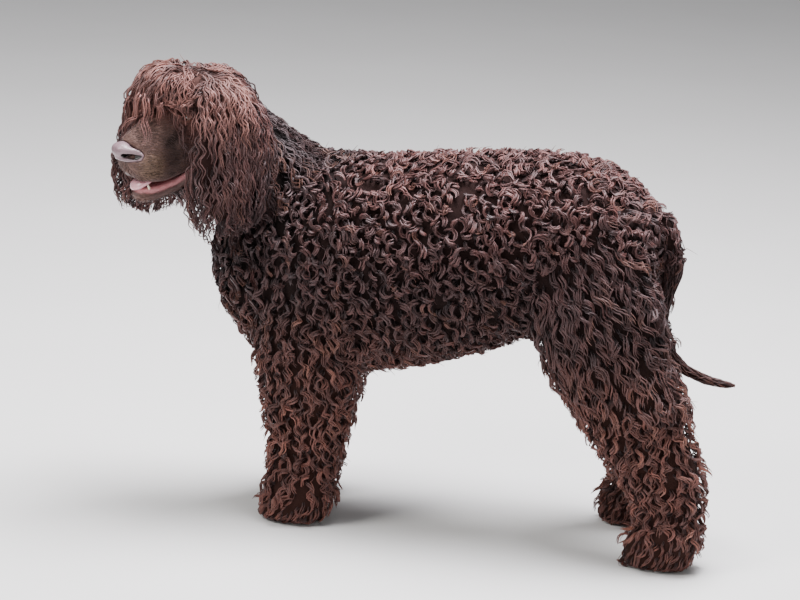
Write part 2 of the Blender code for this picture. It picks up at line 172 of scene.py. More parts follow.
def spread(value, low, high, new_low=0.0, new_high=1.0, smooth=False):
    """a number moved from one range to another and kept inside it"""
    values = {"Value": value, "From Min": low, "From Max": high, "To Min": new_low, "To Max": new_high}
    kind = "SMOOTHSTEP" if smooth else "LINEAR"
    return put("MapRange", values, interpolation_type=kind, clamp=True)


def blend(amount, first, second, kind="RGBA"):
    """a mix of two colours, numbers or arrows"""
    one, other, answer = {"FLOAT": (2, 3, 0), "VECTOR": (4, 5, 1), "RGBA": (6, 7, 2)}[kind]
    return put("Mix", {0: amount, one: first, other: second}, pick=answer, data_type=kind)


def own_place():
    """the point's place on the object, in metres"""
    return put("TexCoord", pick=3)


def stored(name):
    """a number that the mesh carries under this name"""
    return put("Attribute", pick=2, attribute_name=name)


def speckle(place, scale, detail=3.0):
    """soft noise at a given number of lumps per metre"""
    return put("TexNoise", {"Vector": place, "Scale": scale, "Detail": detail, "Roughness": 0.55})


def new_material(name, *pieces):
    """opens the emptied tree of a new material, which the pieces wear, and returns its Principled shader"""
    material = bpy.data.materials.new(name)
    material.use_nodes = True
    nodes = open_tree(material.node_tree).nodes
    nodes.clear()
    shader = nodes.new("ShaderNodeBsdfPrincipled")
    TREE.links.new(shader.outputs[0], nodes.new("ShaderNodeOutputMaterial").inputs[0])
    for piece in pieces:
        piece.data.materials.clear()
        piece.data.materials.append(material)
    return shader


def paint(shader, **inputs):
    """fills the shader's inputs; _ stands for the space in a name"""
    for name, value in inputs.items():
        fill(shader.inputs[name.replace("_", " ")], value)


def bumped(shader, height, depth, strength=1.0):
    """feeds a height in metres into the shader's normal"""
    paint(shader, Normal=put("Bump", {"Height": height, "Distance": depth, "Strength": strength}))


# %% floor, lamps and world
FLOOR_REACH, LAMP_TARGET = 9.0, Vector((0, 0, 0.35))


def add_lamp(name, place, size, power, colour):
    """a square lamp that shines on the middle of the dog"""
    lamp = show(name, bpy.data.lights.new(name, "AREA"))
    lamp.data.size, lamp.data.energy, lamp.data.color = size, power, colour
    lamp.location = place
    lamp.rotation_mode = "QUATERNION"
    lamp.rotation_quaternion = (LAMP_TARGET - Vector(place)).to_track_quat("-Z", "Y")


floor = show("floor", bpy.data.meshes.new("floor"))
corners = [(x * FLOOR_REACH, y * FLOOR_REACH, 0) for x, y in ((-1, -1), (1, -1), (1, 1), (-1, 1))]
floor.data.from_pydata(corners, [], [(0, 1, 2, 3)])
shader = new_material("pale_floor", floor)
shade = blend(speckle(own_place(), 3.0), (0.62, 0.61, 0.6, 1), (0.66, 0.655, 0.645, 1))
paint(shader, Base_Color=shade, Roughness=0.85)
add_lamp("key_lamp", (2.4, -2.2, 3.2), 1.5, 165, (1.0, 0.985, 0.97))
add_lamp("top_lamp", (-0.3, 0.3, 3.3), 1.8, 480, (0.97, 0.96, 1.0))
add_lamp("fill_lamp", (3.6, 1.6, 1.6), 2.0, 35, (1.0, 0.98, 0.97))
world = bpy.data.worlds.new("pale_room")
world.use_nodes = True
sky = world.node_tree.nodes["Background"].inputs
sky["Color"].default_value, sky["Strength"].default_value = (0.8, 0.81, 0.84, 1), 0.32
bpy.context.scene.world = world
print("floor, 3 lamps and a pale world")

# %% [markdown]
# ## Where the head is
# The head is turned to the dog's left and tilted down a little. Everything on the face is easier to place in the
# head's own frame: X to the dog's left, -Y out along the muzzle, Z up, and the origin midway between the eyes.
# One matrix takes that frame to the room. Hair hangs straight down, so it uses a frame that is turned but not
# tilted.

# %% head frame
CENTRING = Vector((-0.0203, 0.0008, 0.0))
HEAD_PLACE = Vector((0.1, -0.391, 0.659)) + CENTRING
HEAD_YAW, HEAD_PITCH, HEAD_ROLL = (math.radians(angle) for angle in (46, 13.5, -1.5))
HANGING = Matrix.Translation(HEAD_PLACE) @ Matrix.Rotation(HEAD_YAW, 4, "Z")
HEAD = HANGING @ Matrix.Rotation(HEAD_PITCH, 4, "X") @ Matrix.Rotation(HEAD_ROLL, 4, "Y")
HEAD_BACK = np.array(HEAD.inverted())
EYE_RADIUS = 0.0115


def moved(matrix, points):
    """points taken through a 4 by 4 matrix"""
    matrix = np.array(matrix)
    return points @ matrix[:3, :3].T + matrix[:3, 3]


def turned(matrix, *way):
    """a direction turned as the matrix turns"""
    return matrix.to_3x3() @ Vector(way)


def mirrored(places):
    """x, y and z with the right half laid on the left, so that one rule shapes both sides"""
    return [np.abs(places[0]), places[1], places[2]]


print("head at", [round(v, 3) for v in HEAD_PLACE], "turned", round(math.degrees(HEAD_YAW)), "degrees")

# %% [markdown]
# ## One skin from many solids
# The frame's solids meet along flat cuts, with a hair's breadth between them. A real dog has one skin with no
# seams, so we need one closed surface that lies inside the solids by the depth of the coat. Moving every vertex
# inwards would tear at the cuts. A distance field does it cleanly: on a grid of points we store how far each point
# is from the surface, add the coat's depth, smooth the numbers, and read off the surface where they are zero.

# %% distance fields
PAIRS = ("ear", "foreleg", "thigh", "shank", "forepaw", "hindpaw")
PAIRED = [f"{part}_{side}" for part in PAIRS for side in ("left", "right")]
FLESH = ["trunk", "neck", "head", "lower_jaw", "topknot", *PAIRED, "tail_root", "tail"]


def read_all(rows, name, wide, kind=np.float32):
    """one property of all the rows of a mesh, as an array with so many columns"""
    values = np.empty(len(rows) * wide, kind)
    rows.foreach_get(name, values)
    return values.reshape(-1, wide)


def points_of(mesh):
    return read_all(mesh.vertices, "co", 3)


def normals_of(mesh):
    return read_all(mesh.vertex_normals, "vector", 3)


def node_mesh(name):
    """a frame node's points and triangles as arrays"""
    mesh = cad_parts[name].data
    mesh.calc_loop_triangles()
    return points_of(mesh), read_all(mesh.loop_triangles, "vertices", 3, np.int32).astype(np.uint32)


def joined_meshes(meshes):
    """several meshes as one list of points and one of triangles"""
    starts = np.cumsum([0] + [len(points) for points, _ in meshes[:-1]])
    triangles = [corners + start for (_, corners), start in zip(meshes, starts)]
    return np.concatenate([points for points, _ in meshes]), np.concatenate(triangles).astype(np.uint32)


class Field:
    """distances to a surface on a regular grid of points, negative inside"""

    def __init__(self, low, high, step, margin=0.0):
        self.step = step
        self.first = np.floor((np.array(low) - margin) / step).astype(int)
        self.shape = tuple(np.ceil((np.array(high) + margin) / step).astype(int) - self.first + 1)

    def places(self):
        """three thin arrays that give every grid point's x, y and z"""
        axes = [(first + np.arange(count)) * self.step for first, count in zip(self.first, self.shape)]
        return [a.astype(np.float32).reshape([-1 if i == j else 1 for j in range(3)]) for i, a in enumerate(axes)]

    def measure(self, mesh, reach):
        """the distance to a closed mesh, out to reach metres"""
        points, triangles = mesh
        grid = openvdb.FloatGrid.createLevelSetFromPolygons(
            points, triangles=triangles, transform=openvdb.createLinearTransform(voxelSize=self.step),
            halfWidth=reach / self.step)
        values = np.full(self.shape, reach, np.float32)
        grid.copyToArray(values, ijk=tuple(int(v) for v in self.first))
        return values

    def soften(self, times):
        """rounds off facets and creases"""
        for _ in range(times):
            for axis in range(3):
                sides = np.roll(self.values, 1, axis) + np.roll(self.values, -1, axis)
                self.values = 0.5 * self.values + 0.25 * sides

    def surface(self):
        """the closed mesh where the distance is zero"""
        grid = openvdb.FloatGrid(background=1.0)
        grid.copyFromArray(np.ascontiguousarray(self.values), tolerance=0.0)
        points, triangles, quads = grid.convertToPolygons(isovalue=0.0, adaptivity=0.0)
        halves = [triangles, quads[:, [0, 1, 2]], quads[:, [0, 2, 3]]]
        faces = np.concatenate([h for h in halves if len(h)])
        return ((points + self.first) * self.step).astype(np.float32), faces.astype(np.uint32)


solids = joined_meshes([node_mesh(name) for name in FLESH])
print("flesh solids:", len(solids[0]), "points,", len(solids[1]), "triangles")


# %% the body's skin
BODY_STEP, BODY_MARGIN = 0.0045, 0.03


def ramp(values, low, high, at_low, at_high):
    """a smooth change from one number to another"""
    t = np.clip((values - low) / (high - low), 0, 1)
    t = t * t * (3 - 2 * t)
    return at_low + (at_high - at_low) * t


def coat_depth(x, y, z):
    """how far the skin lies under the outline of the coat"""
    depth = ramp(z, 0.03, 0.11, 0.006, 0.0165)
    depth = np.minimum(depth, ramp(z, 0.3, 0.42, 1.0, 0.019) + 0 * x)
    behind = ramp(y, 0.36, 0.4, 0.0, 1.0)
    tail = ramp(z, 0.4, 0.5, 0.0015, 0.009)
    above_legs = ramp(z, 0.22, 0.26, 0.0, 1.0)
    return depth + (tail - depth) * behind * above_legs


body = Field(CAD_LOW, CAD_HIGH, BODY_STEP, BODY_MARGIN)
body.values = body.measure(solids, 0.02)
body.values = body.measure(body.surface(), 0.045) + coat_depth(*body.places())
body.soften(3)
BODY_SKIN = body.surface()
print("body skin:", len(BODY_SKIN[0]), "points,", len(BODY_SKIN[1]), "triangles")


# %% mesh helpers
def add_piece(name, points, faces):
    """a mesh object at the origin, with its place in its vertices"""
    mesh = bpy.data.meshes.new(name)
    mesh.vertices.add(len(points))
    mesh.vertices.foreach_set("co", np.asarray(points, np.float32).ravel())
    mesh.loops.add(faces.size)
    mesh.loops.foreach_set("vertex_index", faces.astype(np.int32).ravel())
    mesh.polygons.add(len(faces))
    mesh.polygons.foreach_set("loop_start", np.arange(0, faces.size, faces.shape[1], dtype=np.int32))
    mesh.update(calc_edges=True)
    mesh.validate()
    piece = show(name, mesh)
    mesh.shade_smooth()
    return piece


def baked(piece):
    """replaces a piece's mesh by what its modifiers make of it, and takes the modifiers off"""
    bpy.context.view_layer.update()
    graph = bpy.context.evaluated_depsgraph_get()
    evaluated = piece.evaluated_get(graph)
    mesh = bpy.data.meshes.new_from_object(evaluated, preserve_all_data_layers=True, depsgraph=graph)
    piece.modifiers.clear()
    piece.data = mesh
    mesh.name = piece.name
    return piece


def store(mesh, name, values):
    """keeps a number or an arrow on every vertex"""
    kind, slot = ("FLOAT_VECTOR", "vector") if values.ndim == 2 else ("FLOAT", "value")
    old = mesh.attributes.get(name)
    if old:
        mesh.attributes.remove(old)
    mesh.attributes.new(name, kind, "POINT").data.foreach_set(slot, values.astype(np.float32).ravel())


def unit(rows):
    """every row made one long"""
    return rows / np.maximum(np.linalg.norm(rows, axis=-1, keepdims=True), 1e-9)


def evened(mesh, values, times):
    """averages vertex values over their neighbours"""
    one, other = read_all(mesh.edges, "vertices", 2, np.int32).T
    count = np.bincount(one, minlength=len(values)) + np.bincount(other, minlength=len(values)) + 1.0
    for _ in range(times):
        total = values.copy()
        np.add.at(total, one, values[other])
        np.add.at(total, other, values[one])
        values = total / (count if values.ndim == 1 else count[:, None])
    return values


def lightened(piece, share):
    """fewer triangles, same shape"""
    thin = piece.modifiers.new("fewer", "DECIMATE")
    thin.ratio = share
    piece.modifiers.new("triangles", "TRIANGULATE")
    return baked(piece)


# %% [markdown]
# ## Sculpting the face
# Under the hair the breed has a long, clean-shaven muzzle with square lips, and the face carries all the
# expression, so it is sculpted on a much finer grid. We start from the distance field of the frame's own head and
# lower jaw, add soft forms such as the brow, the whisker pads and the lips, and take away the mouth, the eye
# openings and the creases. Adding and taking away with a small blending width gives rounded, fleshy joins.

# %% soft forms
TENTHS = 10000  # tenths of a millimetre in a metre


def in_metres(rows):
    """stations of (x, y, z, radius) from whole tenths of a millimetre"""
    return [tuple(value / TENTHS for value in row) for row in rows]


def soft_join(first, second, width):
    """two solids melted together"""
    mix = np.clip(0.5 + 0.5 * (second - first) / width, 0, 1)
    return second + (first - second) * mix - width * mix * (1 - mix)


def soft_cut(solid, tool, width):
    """a solid with another taken out of it"""
    return -soft_join(-solid, tool, width)


def egg(places, centre, radii, turn=None):
    """distance to an egg with three radii, turned by the rows of a 3 by 3 array"""
    x, y, z = (place - value for place, value in zip(places, centre))
    if turn is not None:
        x, y, z = (row[0] * x + row[1] * y + row[2] * z for row in np.asarray(turn))
    size = np.sqrt((x / radii[0]) ** 2 + (y / radii[1]) ** 2 + (z / radii[2]) ** 2)
    return (size - 1.0) * min(radii)


def cord_form(places, stations):
    """distance to a round cord through stations of (x, y, z, radius)"""
    best = None
    for (ax, ay, az, ar), (bx, by, bz, br) in zip(stations[:-1], stations[1:]):
        x, y, z = places[0] - ax, places[1] - ay, places[2] - az
        dx, dy, dz = bx - ax, by - ay, bz - az
        along = np.clip((x * dx + y * dy + z * dz) / (dx * dx + dy * dy + dz * dz), 0, 1)
        away = np.sqrt((x - along * dx) ** 2 + (y - along * dy) ** 2 + (z - along * dz) ** 2)
        away = away - (ar + along * (br - ar))
        best = away if best is None else np.minimum(best, away)
    return best


def worked(solid, places, *steps):
    """melts in or, where the width is below 0, cuts out: (width, stations) or (width, centre, radii, turn)"""
    for width, *form in steps:
        tool = (cord_form if len(form) == 1 else egg)(places, *form)
        solid = soft_join(solid, tool, width) if width > 0 else soft_cut(solid, tool, -width)
    return solid


def mesh_in_head(name):
    """a frame node's mesh in the head's own frame"""
    points, triangles = node_mesh(name)
    return moved(HEAD_BACK, points).astype(np.float32), triangles


# %% the face, part by part
EYE_LEFT = moved(HEAD_BACK, np.array([sum(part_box("eye_left"), Vector()) / 2]))[0]
EYE_FRONT = 0.0095  # from the ball's centre to the opening between the lids
UPPER_LIP = in_metres([
    (0, -1080, -665, 30), (80, -1030, -725, 34), (175, -925, -795, 38), (250, -790, -860, 42),
    (300, -604, -890, 44), (325, -427, -868, 42), (360, -236, -840, 38), (410, 100, -775, 30),
])
FLEW = [(x * 0.9, y + 0.003, z + 0.0085, 0.0075) for x, y, z, _ in UPPER_LIP[2:]]
LOWER_LIP = in_metres([
    (0, -1015, -1075, 38), (105, -925, -1122, 40), (185, -800, -1165, 42), (228, -655, -1155, 42),
    (262, -530, -1122, 42), (298, -400, -1110, 44), (360, -230, -1020, 44), (420, 80, -860, 36),
])
GUM = in_metres([
    (0, -975, -995, 40), (80, -925, -1015, 44), (145, -770, -1050, 48), (185, -640, -1055, 50),
    (225, -510, -1035, 50), (265, -370, -1010, 50), (340, -225, -935, 44), (395, 60, -820, 30),
])
LIP_FOLD = in_metres([
    (290, -920, -690, 8), (360, -700, -765, 11), (385, -420, -755, 11), (420, -100, -690, 8),
])
CORNER_FOLD = in_metres([
    (430, 120, -700, 12), (470, 280, -760, 18), (460, 380, -900, 12),
])
BRIDGE = in_metres([
    (0, -1000, -330, 140), (0, -840, -265, 180), (0, -600, -190, 210), (0, -250, -120, 240),
])


def eye_axes():
    """rows across, out and up of the eye, which looks forward and a little outward"""
    out = np.array([0.5, -0.866, 0.02])
    out /= np.linalg.norm(out)
    across = np.cross([0, 0, 1.0], out)
    across /= np.linalg.norm(across)
    return np.array([across, out, np.cross(out, across)])


def shape_muzzle(solid, places):
    """bridge, whisker pads, brow, cheeks and the front that slopes back to the lip"""
    solid = worked(solid, places, (0.01, BRIDGE), (0.01, (0.017, -0.08, -0.06), (0.02, 0.027, 0.023)))
    front = -((places[1] + 0.1184) * 0.81 + (places[2] + 0.0536) * 0.586) - 0.1 * places[0]
    return worked(
        soft_cut(solid, -front, 0.008), places,
        (0.008, EYE_LEFT + (-0.002, 0.003, 0.0155), (0.017, 0.012, 0.0075)),
        (0.012, EYE_LEFT + (0.01, 0.03, -0.016), (0.012, 0.028, 0.012)), (0.008, FLEW), (0.005, UPPER_LIP),
        (-0.003, (0, -0.05, -0.09), (0.0215, 0.055, 0.0075)), (-0.004, LIP_FOLD))


def shape_jaw(solid, places):
    """lower jaw with its loose lip and the gum above it"""
    return worked(solid, places, (0.008, (0, -0.088, -0.113), (0.0175, 0.015, 0.011)), (0.003, GUM),
                  (0.0035, LOWER_LIP), (-0.003, (0, -0.06, -0.096), (0.015, 0.045, 0.006)))


def shape_eye(solid, places):
    """lids over the ball, and the almond opening between them"""
    rows = eye_axes()
    solid = worked(
        solid, places, (0.005, EYE_LEFT, (EYE_RADIUS + 0.0022,) * 3),
        (-0.0012, EYE_LEFT + rows[1] * EYE_FRONT - rows[2] * 0.0008, (0.0098, 0.01, 0.0052), rows))
    return np.maximum(solid, -egg(places, EYE_LEFT, (EYE_RADIUS + 0.0003,) * 3))


# %% the shape of the nose
NOSTRIL = in_metres([
    (115, -1060, -360, 36), (150, -1140, -374, 44), (205, -1065, -402, 42), (262, -985, -424, 34),
    (296, -930, -424, 16),
])
WING = in_metres([
    (0, -1185, -400, 34), (60, -1165, -425, 30), (140, -1085, -460, 30), (220, -1005, -482, 33),
    (280, -935, -470, 36), (292, -900, -420, 34), (245, -915, -370, 36),
])
UPPER_WING = in_metres([
    (60, -1130, -280, 75), (140, -1080, -305, 64), (194, -990, -335, 54), (225, -935, -362, 44),
])
FURROW = in_metres([
    (0, -1180, -190, 3), (0, -1250, -310, 9), (0, -1215, -460, 10),
])
FILLER = (0.024, -0.0935, -0.042), (0.0046, 0.008, 0.0056)


def nose_shape(places):
    """the pad, its wings round the nostrils, and the furrow between them"""
    pad = egg(places, (0, -0.1075, -0.031), (0.0185, 0.016, 0.0125))
    return worked(pad, places, (0.004, UPPER_WING), (0.003, WING), (0.002, *FILLER), (-0.0014, NOSTRIL),
                  (-0.0014, FURROW))


# %% the face as one field
HEAD_STEP, HEAD_LOW, HEAD_HIGH = 0.0014, (-0.08, -0.13, -0.14), (0.08, 0.1, 0.066)
SHORT_FUR_DEPTH = 0.001
PHILTRUM = in_metres([
    (0, -1210, -470, 10), (0, -1125, -660, 10),
])
head_field = Field(HEAD_LOW, HEAD_HIGH, HEAD_STEP)
HALF_PLACES = mirrored(head_field.places())


def from_bone(node):
    """the frame's solid, rounded and drawn in by the depth of the face's short fur"""
    head_field.values = head_field.measure(mesh_in_head(node), 0.012) + SHORT_FUR_DEPTH
    head_field.soften(4)
    return head_field.values


upper = shape_eye(shape_muzzle(from_bone("head"), HALF_PLACES), HALF_PLACES)
both = soft_join(upper, shape_jaw(from_bone("lower_jaw"), HALF_PLACES), 0.0012)
both = soft_cut(both, nose_shape(HALF_PLACES) - 0.0006, 0.0015)
both = soft_cut(both, cord_form(HALF_PLACES, NOSTRIL) - 0.0003, 0.001)
head_field.values = worked(both, HALF_PLACES, (-0.0025, PHILTRUM), (-0.005, CORNER_FOLD))
head_field.soften(1)
for axis in range(3):
    np.moveaxis(head_field.values, axis, 0)[[0, -1]] = 0.01  # outside, so that the mesh closes at the border
FACE_SKIN = head_field.surface()
print("face:", len(FACE_SKIN[0]), "points,", len(FACE_SKIN[1]), "triangles")

# %% tail, on a grid of its own
TAIL_STEP, TAIL_MARGIN = 0.0013, 0.01
tail_field = Field(*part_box("tail"), TAIL_STEP, TAIL_MARGIN)
tail_depth = ramp(tail_field.places()[2], 0.36, 0.44, 0.0008, 0.004)
tail_field.values = tail_field.measure(node_mesh("tail"), 0.02) + tail_depth
tail_field.soften(1)
TAIL_SKIN = tail_field.surface()
print("tail:", len(TAIL_SKIN[0]), "points")


# %% one closed skin
KEPT_SHARES = 0.35, 0.55, 0.5  # of the triangles of body, face and tail


def united(piece, *others):
    """one closed mesh from pieces that run into each other"""
    for other in others:
        join = piece.modifiers.new("join", "BOOLEAN")
        join.operation, join.solver, join.object = "UNION", "MANIFOLD", other
    baked(piece)
    for other in others:
        bpy.data.objects.remove(other)
    return piece


face = add_piece("face", moved(HEAD, FACE_SKIN[0]), FACE_SKIN[1])
rough_skin, tail_piece = add_piece("skin", *BODY_SKIN), add_piece("tail_skin", *TAIL_SKIN)
skin = united(*(lightened(*pair) for pair in zip((rough_skin, face, tail_piece), KEPT_SHARES)))
skin.data.shade_smooth()
print("skin:", len(skin.data.vertices), "points,", len(skin.data.polygons), "faces")

# %% [markdown]
# ## Nose, tongue and eyes
# The nose is a pad of bare, pebbled leather. Each nostril is a round opening in front that narrows to a slit and
# sweeps back round the wing, and a fine furrow divides the pad. The tongue is broad, soft and wet, with a groove
# down its middle, and a small lower canine tooth stands on either side of it. All are sculpted on the same kind
# of grid, nose and tongue inside the room that the frame gives them.

# %% nose and tongue
ROOM_MARGIN = 0.012
NOSE_STEP, TONGUE_STEP, TOOTH_STEP = 0.0008, 0.0009, 0.0006


def sculpted(name, low, high, step, shape, times=1, margin=0.0):
    """a piece shaped on a fine grid in the head's frame"""
    field = Field(low, high, step, margin)
    field.values = shape(mirrored(field.places()))
    field.soften(times)
    points, faces = field.surface()
    piece = add_piece(name, moved(HEAD, points), faces)
    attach(piece, "root")
    return piece


def in_place_of(node, name, step, shape):
    """a sculpted piece that replaces one node of the frame"""
    room = mesh_in_head(node)[0]
    piece = sculpted(name, room.min(0), room.max(0), step, shape, margin=ROOM_MARGIN)
    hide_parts(node)
    return piece


def tongue_shape(places):
    """a tilted tip, the broad body behind it, and the groove"""
    cos, sin = math.cos(math.radians(18)), math.sin(math.radians(18))
    rows = [(1, 0, 0), (0, cos, sin), (0, -sin, cos)]
    tip = egg(places, (0, -0.087, -0.0925), (0.017, 0.0195, 0.007), rows)
    return worked(tip, places, (0.006, (0, -0.055, -0.09), (0.0175, 0.035, 0.005)), (-0.004, GROOVE))


GROOVE = in_metres([
    (0, -300, -850, 12), (0, -700, -850, 12), (0, -880, -852, 4),
])
CANINE = in_metres([
    (165, -830, -1010, 22), (170, -840, -965, 16), (174, -842, -925, 5),
])
nose = in_place_of("nose", "nose_leather", NOSE_STEP, nose_shape)
tongue = in_place_of("tongue", "wet_tongue", TONGUE_STEP, tongue_shape)
teeth = sculpted("lower_canines", (-0.024, -0.092, -0.108), (0.024, -0.076, -0.086), TOOTH_STEP,
                 lambda places: cord_form(places, CANINE), times=0)
shader = new_material("tooth_enamel", teeth)
paint(shader, Base_Color=(0.7, 0.62, 0.48, 1), Roughness=0.25)
for piece in (nose, tongue, teeth):
    print(piece.name, len(piece.data.polygons), "faces")

# %% bare leather of the nose
# painted shade: the leather is darkened deep in the nostrils' hollows
hollow = cord_form(mirrored(moved(HEAD_BACK, points_of(nose.data)).T), NOSTRIL)
store(nose.data, "hollow", ramp(hollow, 0.0014, 0.0003, 0.0, 1.0))
shader = new_material("nose_leather", nose)
place = own_place()
pebbles = put("TexVoronoi", {"Vector": place, "Scale": 900.0}, feature="SMOOTH_F1")
leather = blend(speckle(place, 120.0), (0.142, 0.085, 0.096, 1), (0.24, 0.16, 0.186, 1))
leather = blend(stored("hollow"), leather, (0.006, 0.003, 0.003, 1))
bumped(shader, pebbles * -1.0, 0.00035)
paint(shader, Base_Color=leather, Roughness=spread(pebbles, 0.0, 0.7, 0.42, 0.3), Coat_Weight=0.25,
      Coat_Roughness=0.25)

# %% wet tongue
shader = new_material("wet_tongue", tongue)
place = own_place()
buds = speckle(place, 900.0, 2.0)
pink = blend(speckle(place, 70.0), (0.5, 0.235, 0.265, 1), (0.62, 0.33, 0.37, 1))
bumped(shader, buds, 0.0003, 0.6)
paint(shader, Base_Color=pink, Roughness=spread(buds, 0.3, 0.7, 0.22, 0.42), Subsurface_Weight=0.25,
      Subsurface_Radius=(0.004, 0.0015, 0.0012), Coat_Weight=0.6, Coat_Roughness=0.12)

# %% eyes
# The frame's own eyeballs keep their shape. Rings of colour are worked out from the angle to the line of sight.
for side, sign in (("left", 1), ("right", -1)):
    shader = new_material(f"{side}_eye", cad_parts[f"eye_{side}"])
    centre = sum(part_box(f"eye_{side}"), Vector()) / 2
    sight = HEAD.to_3x3() @ Vector((sign * 0.5, -0.866, 0.02)).normalized()
    facing = dot(vector("NORMALIZE", own_place() - tuple(centre)), tuple(sight))
    iris = blend(speckle(own_place(), 700.0), (0.034, 0.014, 0.006, 1), (0.078, 0.034, 0.013, 1))
    shade = blend(spread(facing, 0.965, 0.975), iris, (0.002, 0.002, 0.002, 1))
    shade = blend(spread(facing, 0.8, 0.84), (0.4, 0.27, 0.23, 1), shade)
    paint(shader, Base_Color=shade, Roughness=0.06, Coat_Weight=1.0, Coat_Roughness=0.02)
print("nose, tongue and two eyes finished")

# %% [markdown]
# ## A guide for the coat
# Hair needs to know three things at every place on the skin: which part of the dog it grows on, which way it lies,
# and how freely it hangs. A light copy of the skin carries these as attributes. Each of its points belongs to the
# solid that it lies deepest in, each part has its own rule for the lie of the hair, and the directions are then
# averaged over the neighbours so that the coat turns smoothly from the neck onto the shoulder and down the leg.

# %% the guide
GUIDE_SHARE = 0.3
guide = lightened(show("coat_guide", skin.data.copy()), GUIDE_SHARE)
print("guide:", len(guide.data.vertices), "points,", len(guide.data.polygons), "triangles")


# %% which part each point belongs to
def nearest_solid(points, names):
    """the index of the solid each point lies deepest in, or nearest to"""
    best = np.full(len(points), 9.0)
    owner = np.zeros(len(points), int)
    for index, name in enumerate(names):
        solid_points, solid_triangles = node_mesh(name)
        tree = BVHTree.FromPolygons(solid_points.tolist(), solid_triangles.tolist())
        for i, point in enumerate(points):
            place, normal, _, distance = tree.find_nearest(Vector(point), 0.06)
            if place is None:
                continue
            signed = distance if (Vector(point) - place).dot(normal) > 0 else -distance
            if signed < best[i]:
                best[i], owner[i] = signed, index
    return owner


def chosen(*names):
    """which guide points belong to the named solids; a name without its side means both sides"""
    both = [part.replace("_left", "").replace("_right", "") for part in FLESH]
    return np.isin(GUIDE_OWNER, [i for i, part in enumerate(FLESH) if part in names or both[i] in names])


GUIDE_POINTS, GUIDE_NORMALS = points_of(guide.data), normals_of(guide.data)
GUIDE_OWNER = nearest_solid(GUIDE_POINTS, FLESH)
print({name: int((GUIDE_OWNER == i).sum()) for i, name in enumerate(FLESH)})


# %% unwrapping the guide
def packed(sizes, margin=0.004):
    """corners for rectangles laid on shelves, tallest first, and the side of the square that holds them"""
    side = 1.08 * math.sqrt(sum((w + margin) * (h + margin) for w, h in sizes))
    corners, x, y, shelf = [None] * len(sizes), 0.0, 0.0, 0.0
    for index in sorted(range(len(sizes)), key=lambda i: -sizes[i][1]):
        wide, high = sizes[index]
        if x + wide > side and x > 0:
            x, y, shelf = 0.0, y + shelf + margin, 0.0
        corners[index] = (x, y)
        x, shelf = x + wide + margin, max(shelf, high)
    return corners, max(side, y + shelf)


def unwrapped(mesh, owner):
    """flattens the skin part by part, each side of a part on an island of its own"""
    points = points_of(mesh)
    faces = read_all(mesh.loops, "vertex_index", 1, np.int32).reshape(-1, 3)
    a, b, c = (points[corner] for corner in faces.T)
    facing = np.cross(b - a, c - a)
    axis = np.abs(facing).argmax(1)
    island = owner[faces[:, 0]] * 6 + axis * 2 + (np.take_along_axis(facing, axis[:, None], 1)[:, 0] > 0)
    flat = np.zeros((len(faces), 3, 2))
    groups = []
    for number in np.unique(island):
        rows = np.nonzero(island == number)[0]
        flat[rows] = np.delete(points[faces[rows]], axis[rows[0]], 2)
        flat[rows] -= flat[rows].reshape(-1, 2).min(0)
        groups.append((rows, flat[rows].reshape(-1, 2).max(0)))
    places, side = packed([tuple(size) for _, size in groups])
    for (rows, _), place in zip(groups, places):
        flat[rows] += place
    mesh.uv_layers.new(name="unwrap").data.foreach_set("uv", (flat / side).astype(np.float32).ravel())
    return len(groups)


print("islands:", unwrapped(guide.data, GUIDE_OWNER))

# %% which way the hair lies
TAIL_LINE = np.array([(0, y, z) for y, z in (
    (345, 560), (380, 532), (398, 492), (401, 452), (394, 417), (388, 385), (391, 352), (405, 322), (431, 298),
    (465, 285), (496, 281), (512, 281))]) / 1000 + np.array(CENTRING)
PARTING = np.array(HANGING @ Vector((0.0, 0.05, 0.06)))
PARTING_WAY = np.array(turned(HANGING, 0, 1, 0))
RULES = {
    "neck": (0, 0.28, -1.0), "foreleg": (0, 0.14, -1.0), "thigh": (0, 0.5, -0.9), "shank": (0, 0.22, -1.0),
    "forepaw": (0, -0.6, -0.8), "hindpaw": (0, -0.6, -0.8), "ear": (0, 0, -1),
}


def along_tail(points):
    """the tail's direction at the point of it that is nearest"""
    middles = (TAIL_LINE[1:] + TAIL_LINE[:-1]) / 2
    nearest = np.linalg.norm(points[:, None] - middles[None], axis=2).argmin(1)
    return unit(np.diff(TAIL_LINE, axis=0))[nearest]


def lie_of_hair(points):
    """a direction for every point, before it is laid onto the skin"""
    lie = np.tile([0.0, 0.52, -0.8], (len(points), 1))
    for name, direction in RULES.items():
        lie[chosen(name)] = direction
    tail, crown = chosen("tail", "tail_root"), chosen("topknot")
    lie[tail] = along_tail(points[tail])
    share = np.clip((points - PARTING) @ PARTING_WAY, -0.035, 0.03)[:, None]
    away = points - PARTING - share * PARTING_WAY
    away[:, 2] = -0.055
    lie[crown] = unit(away)[crown]
    lie[chosen("head", "lower_jaw")] = np.array(turned(HEAD, 0, 1, -0.25))
    return unit(lie)


def laid(lie, normals):
    """directions turned to lie on the skin"""
    return unit(lie - normals * (lie * normals).sum(1, keepdims=True))


lie = evened(guide.data, laid(lie_of_hair(GUIDE_POINTS), GUIDE_NORMALS), 10)
store(guide.data, "flow", laid(lie, GUIDE_NORMALS))
store(guide.data, "out", unit(evened(guide.data, GUIDE_NORMALS, 6)))
print("flow stored on", len(lie), "points")

# %% [markdown]
# ## The lock of hair
# An Irish water spaniel wears crisp ringlets, each a small bundle of hairs that turn together like a loose spring.
# The tree below grows them. It scatters roots over the guide, makes a few strands at each root, and lets every
# strand walk over the skin step by step in the direction the hair lies. Then the walk is wound into a spring,
# lifted off the skin, and given thickness: a fine root, a full middle and a thin tip. Strands of one root share
# their turns, which is what makes a curl read as one lock.

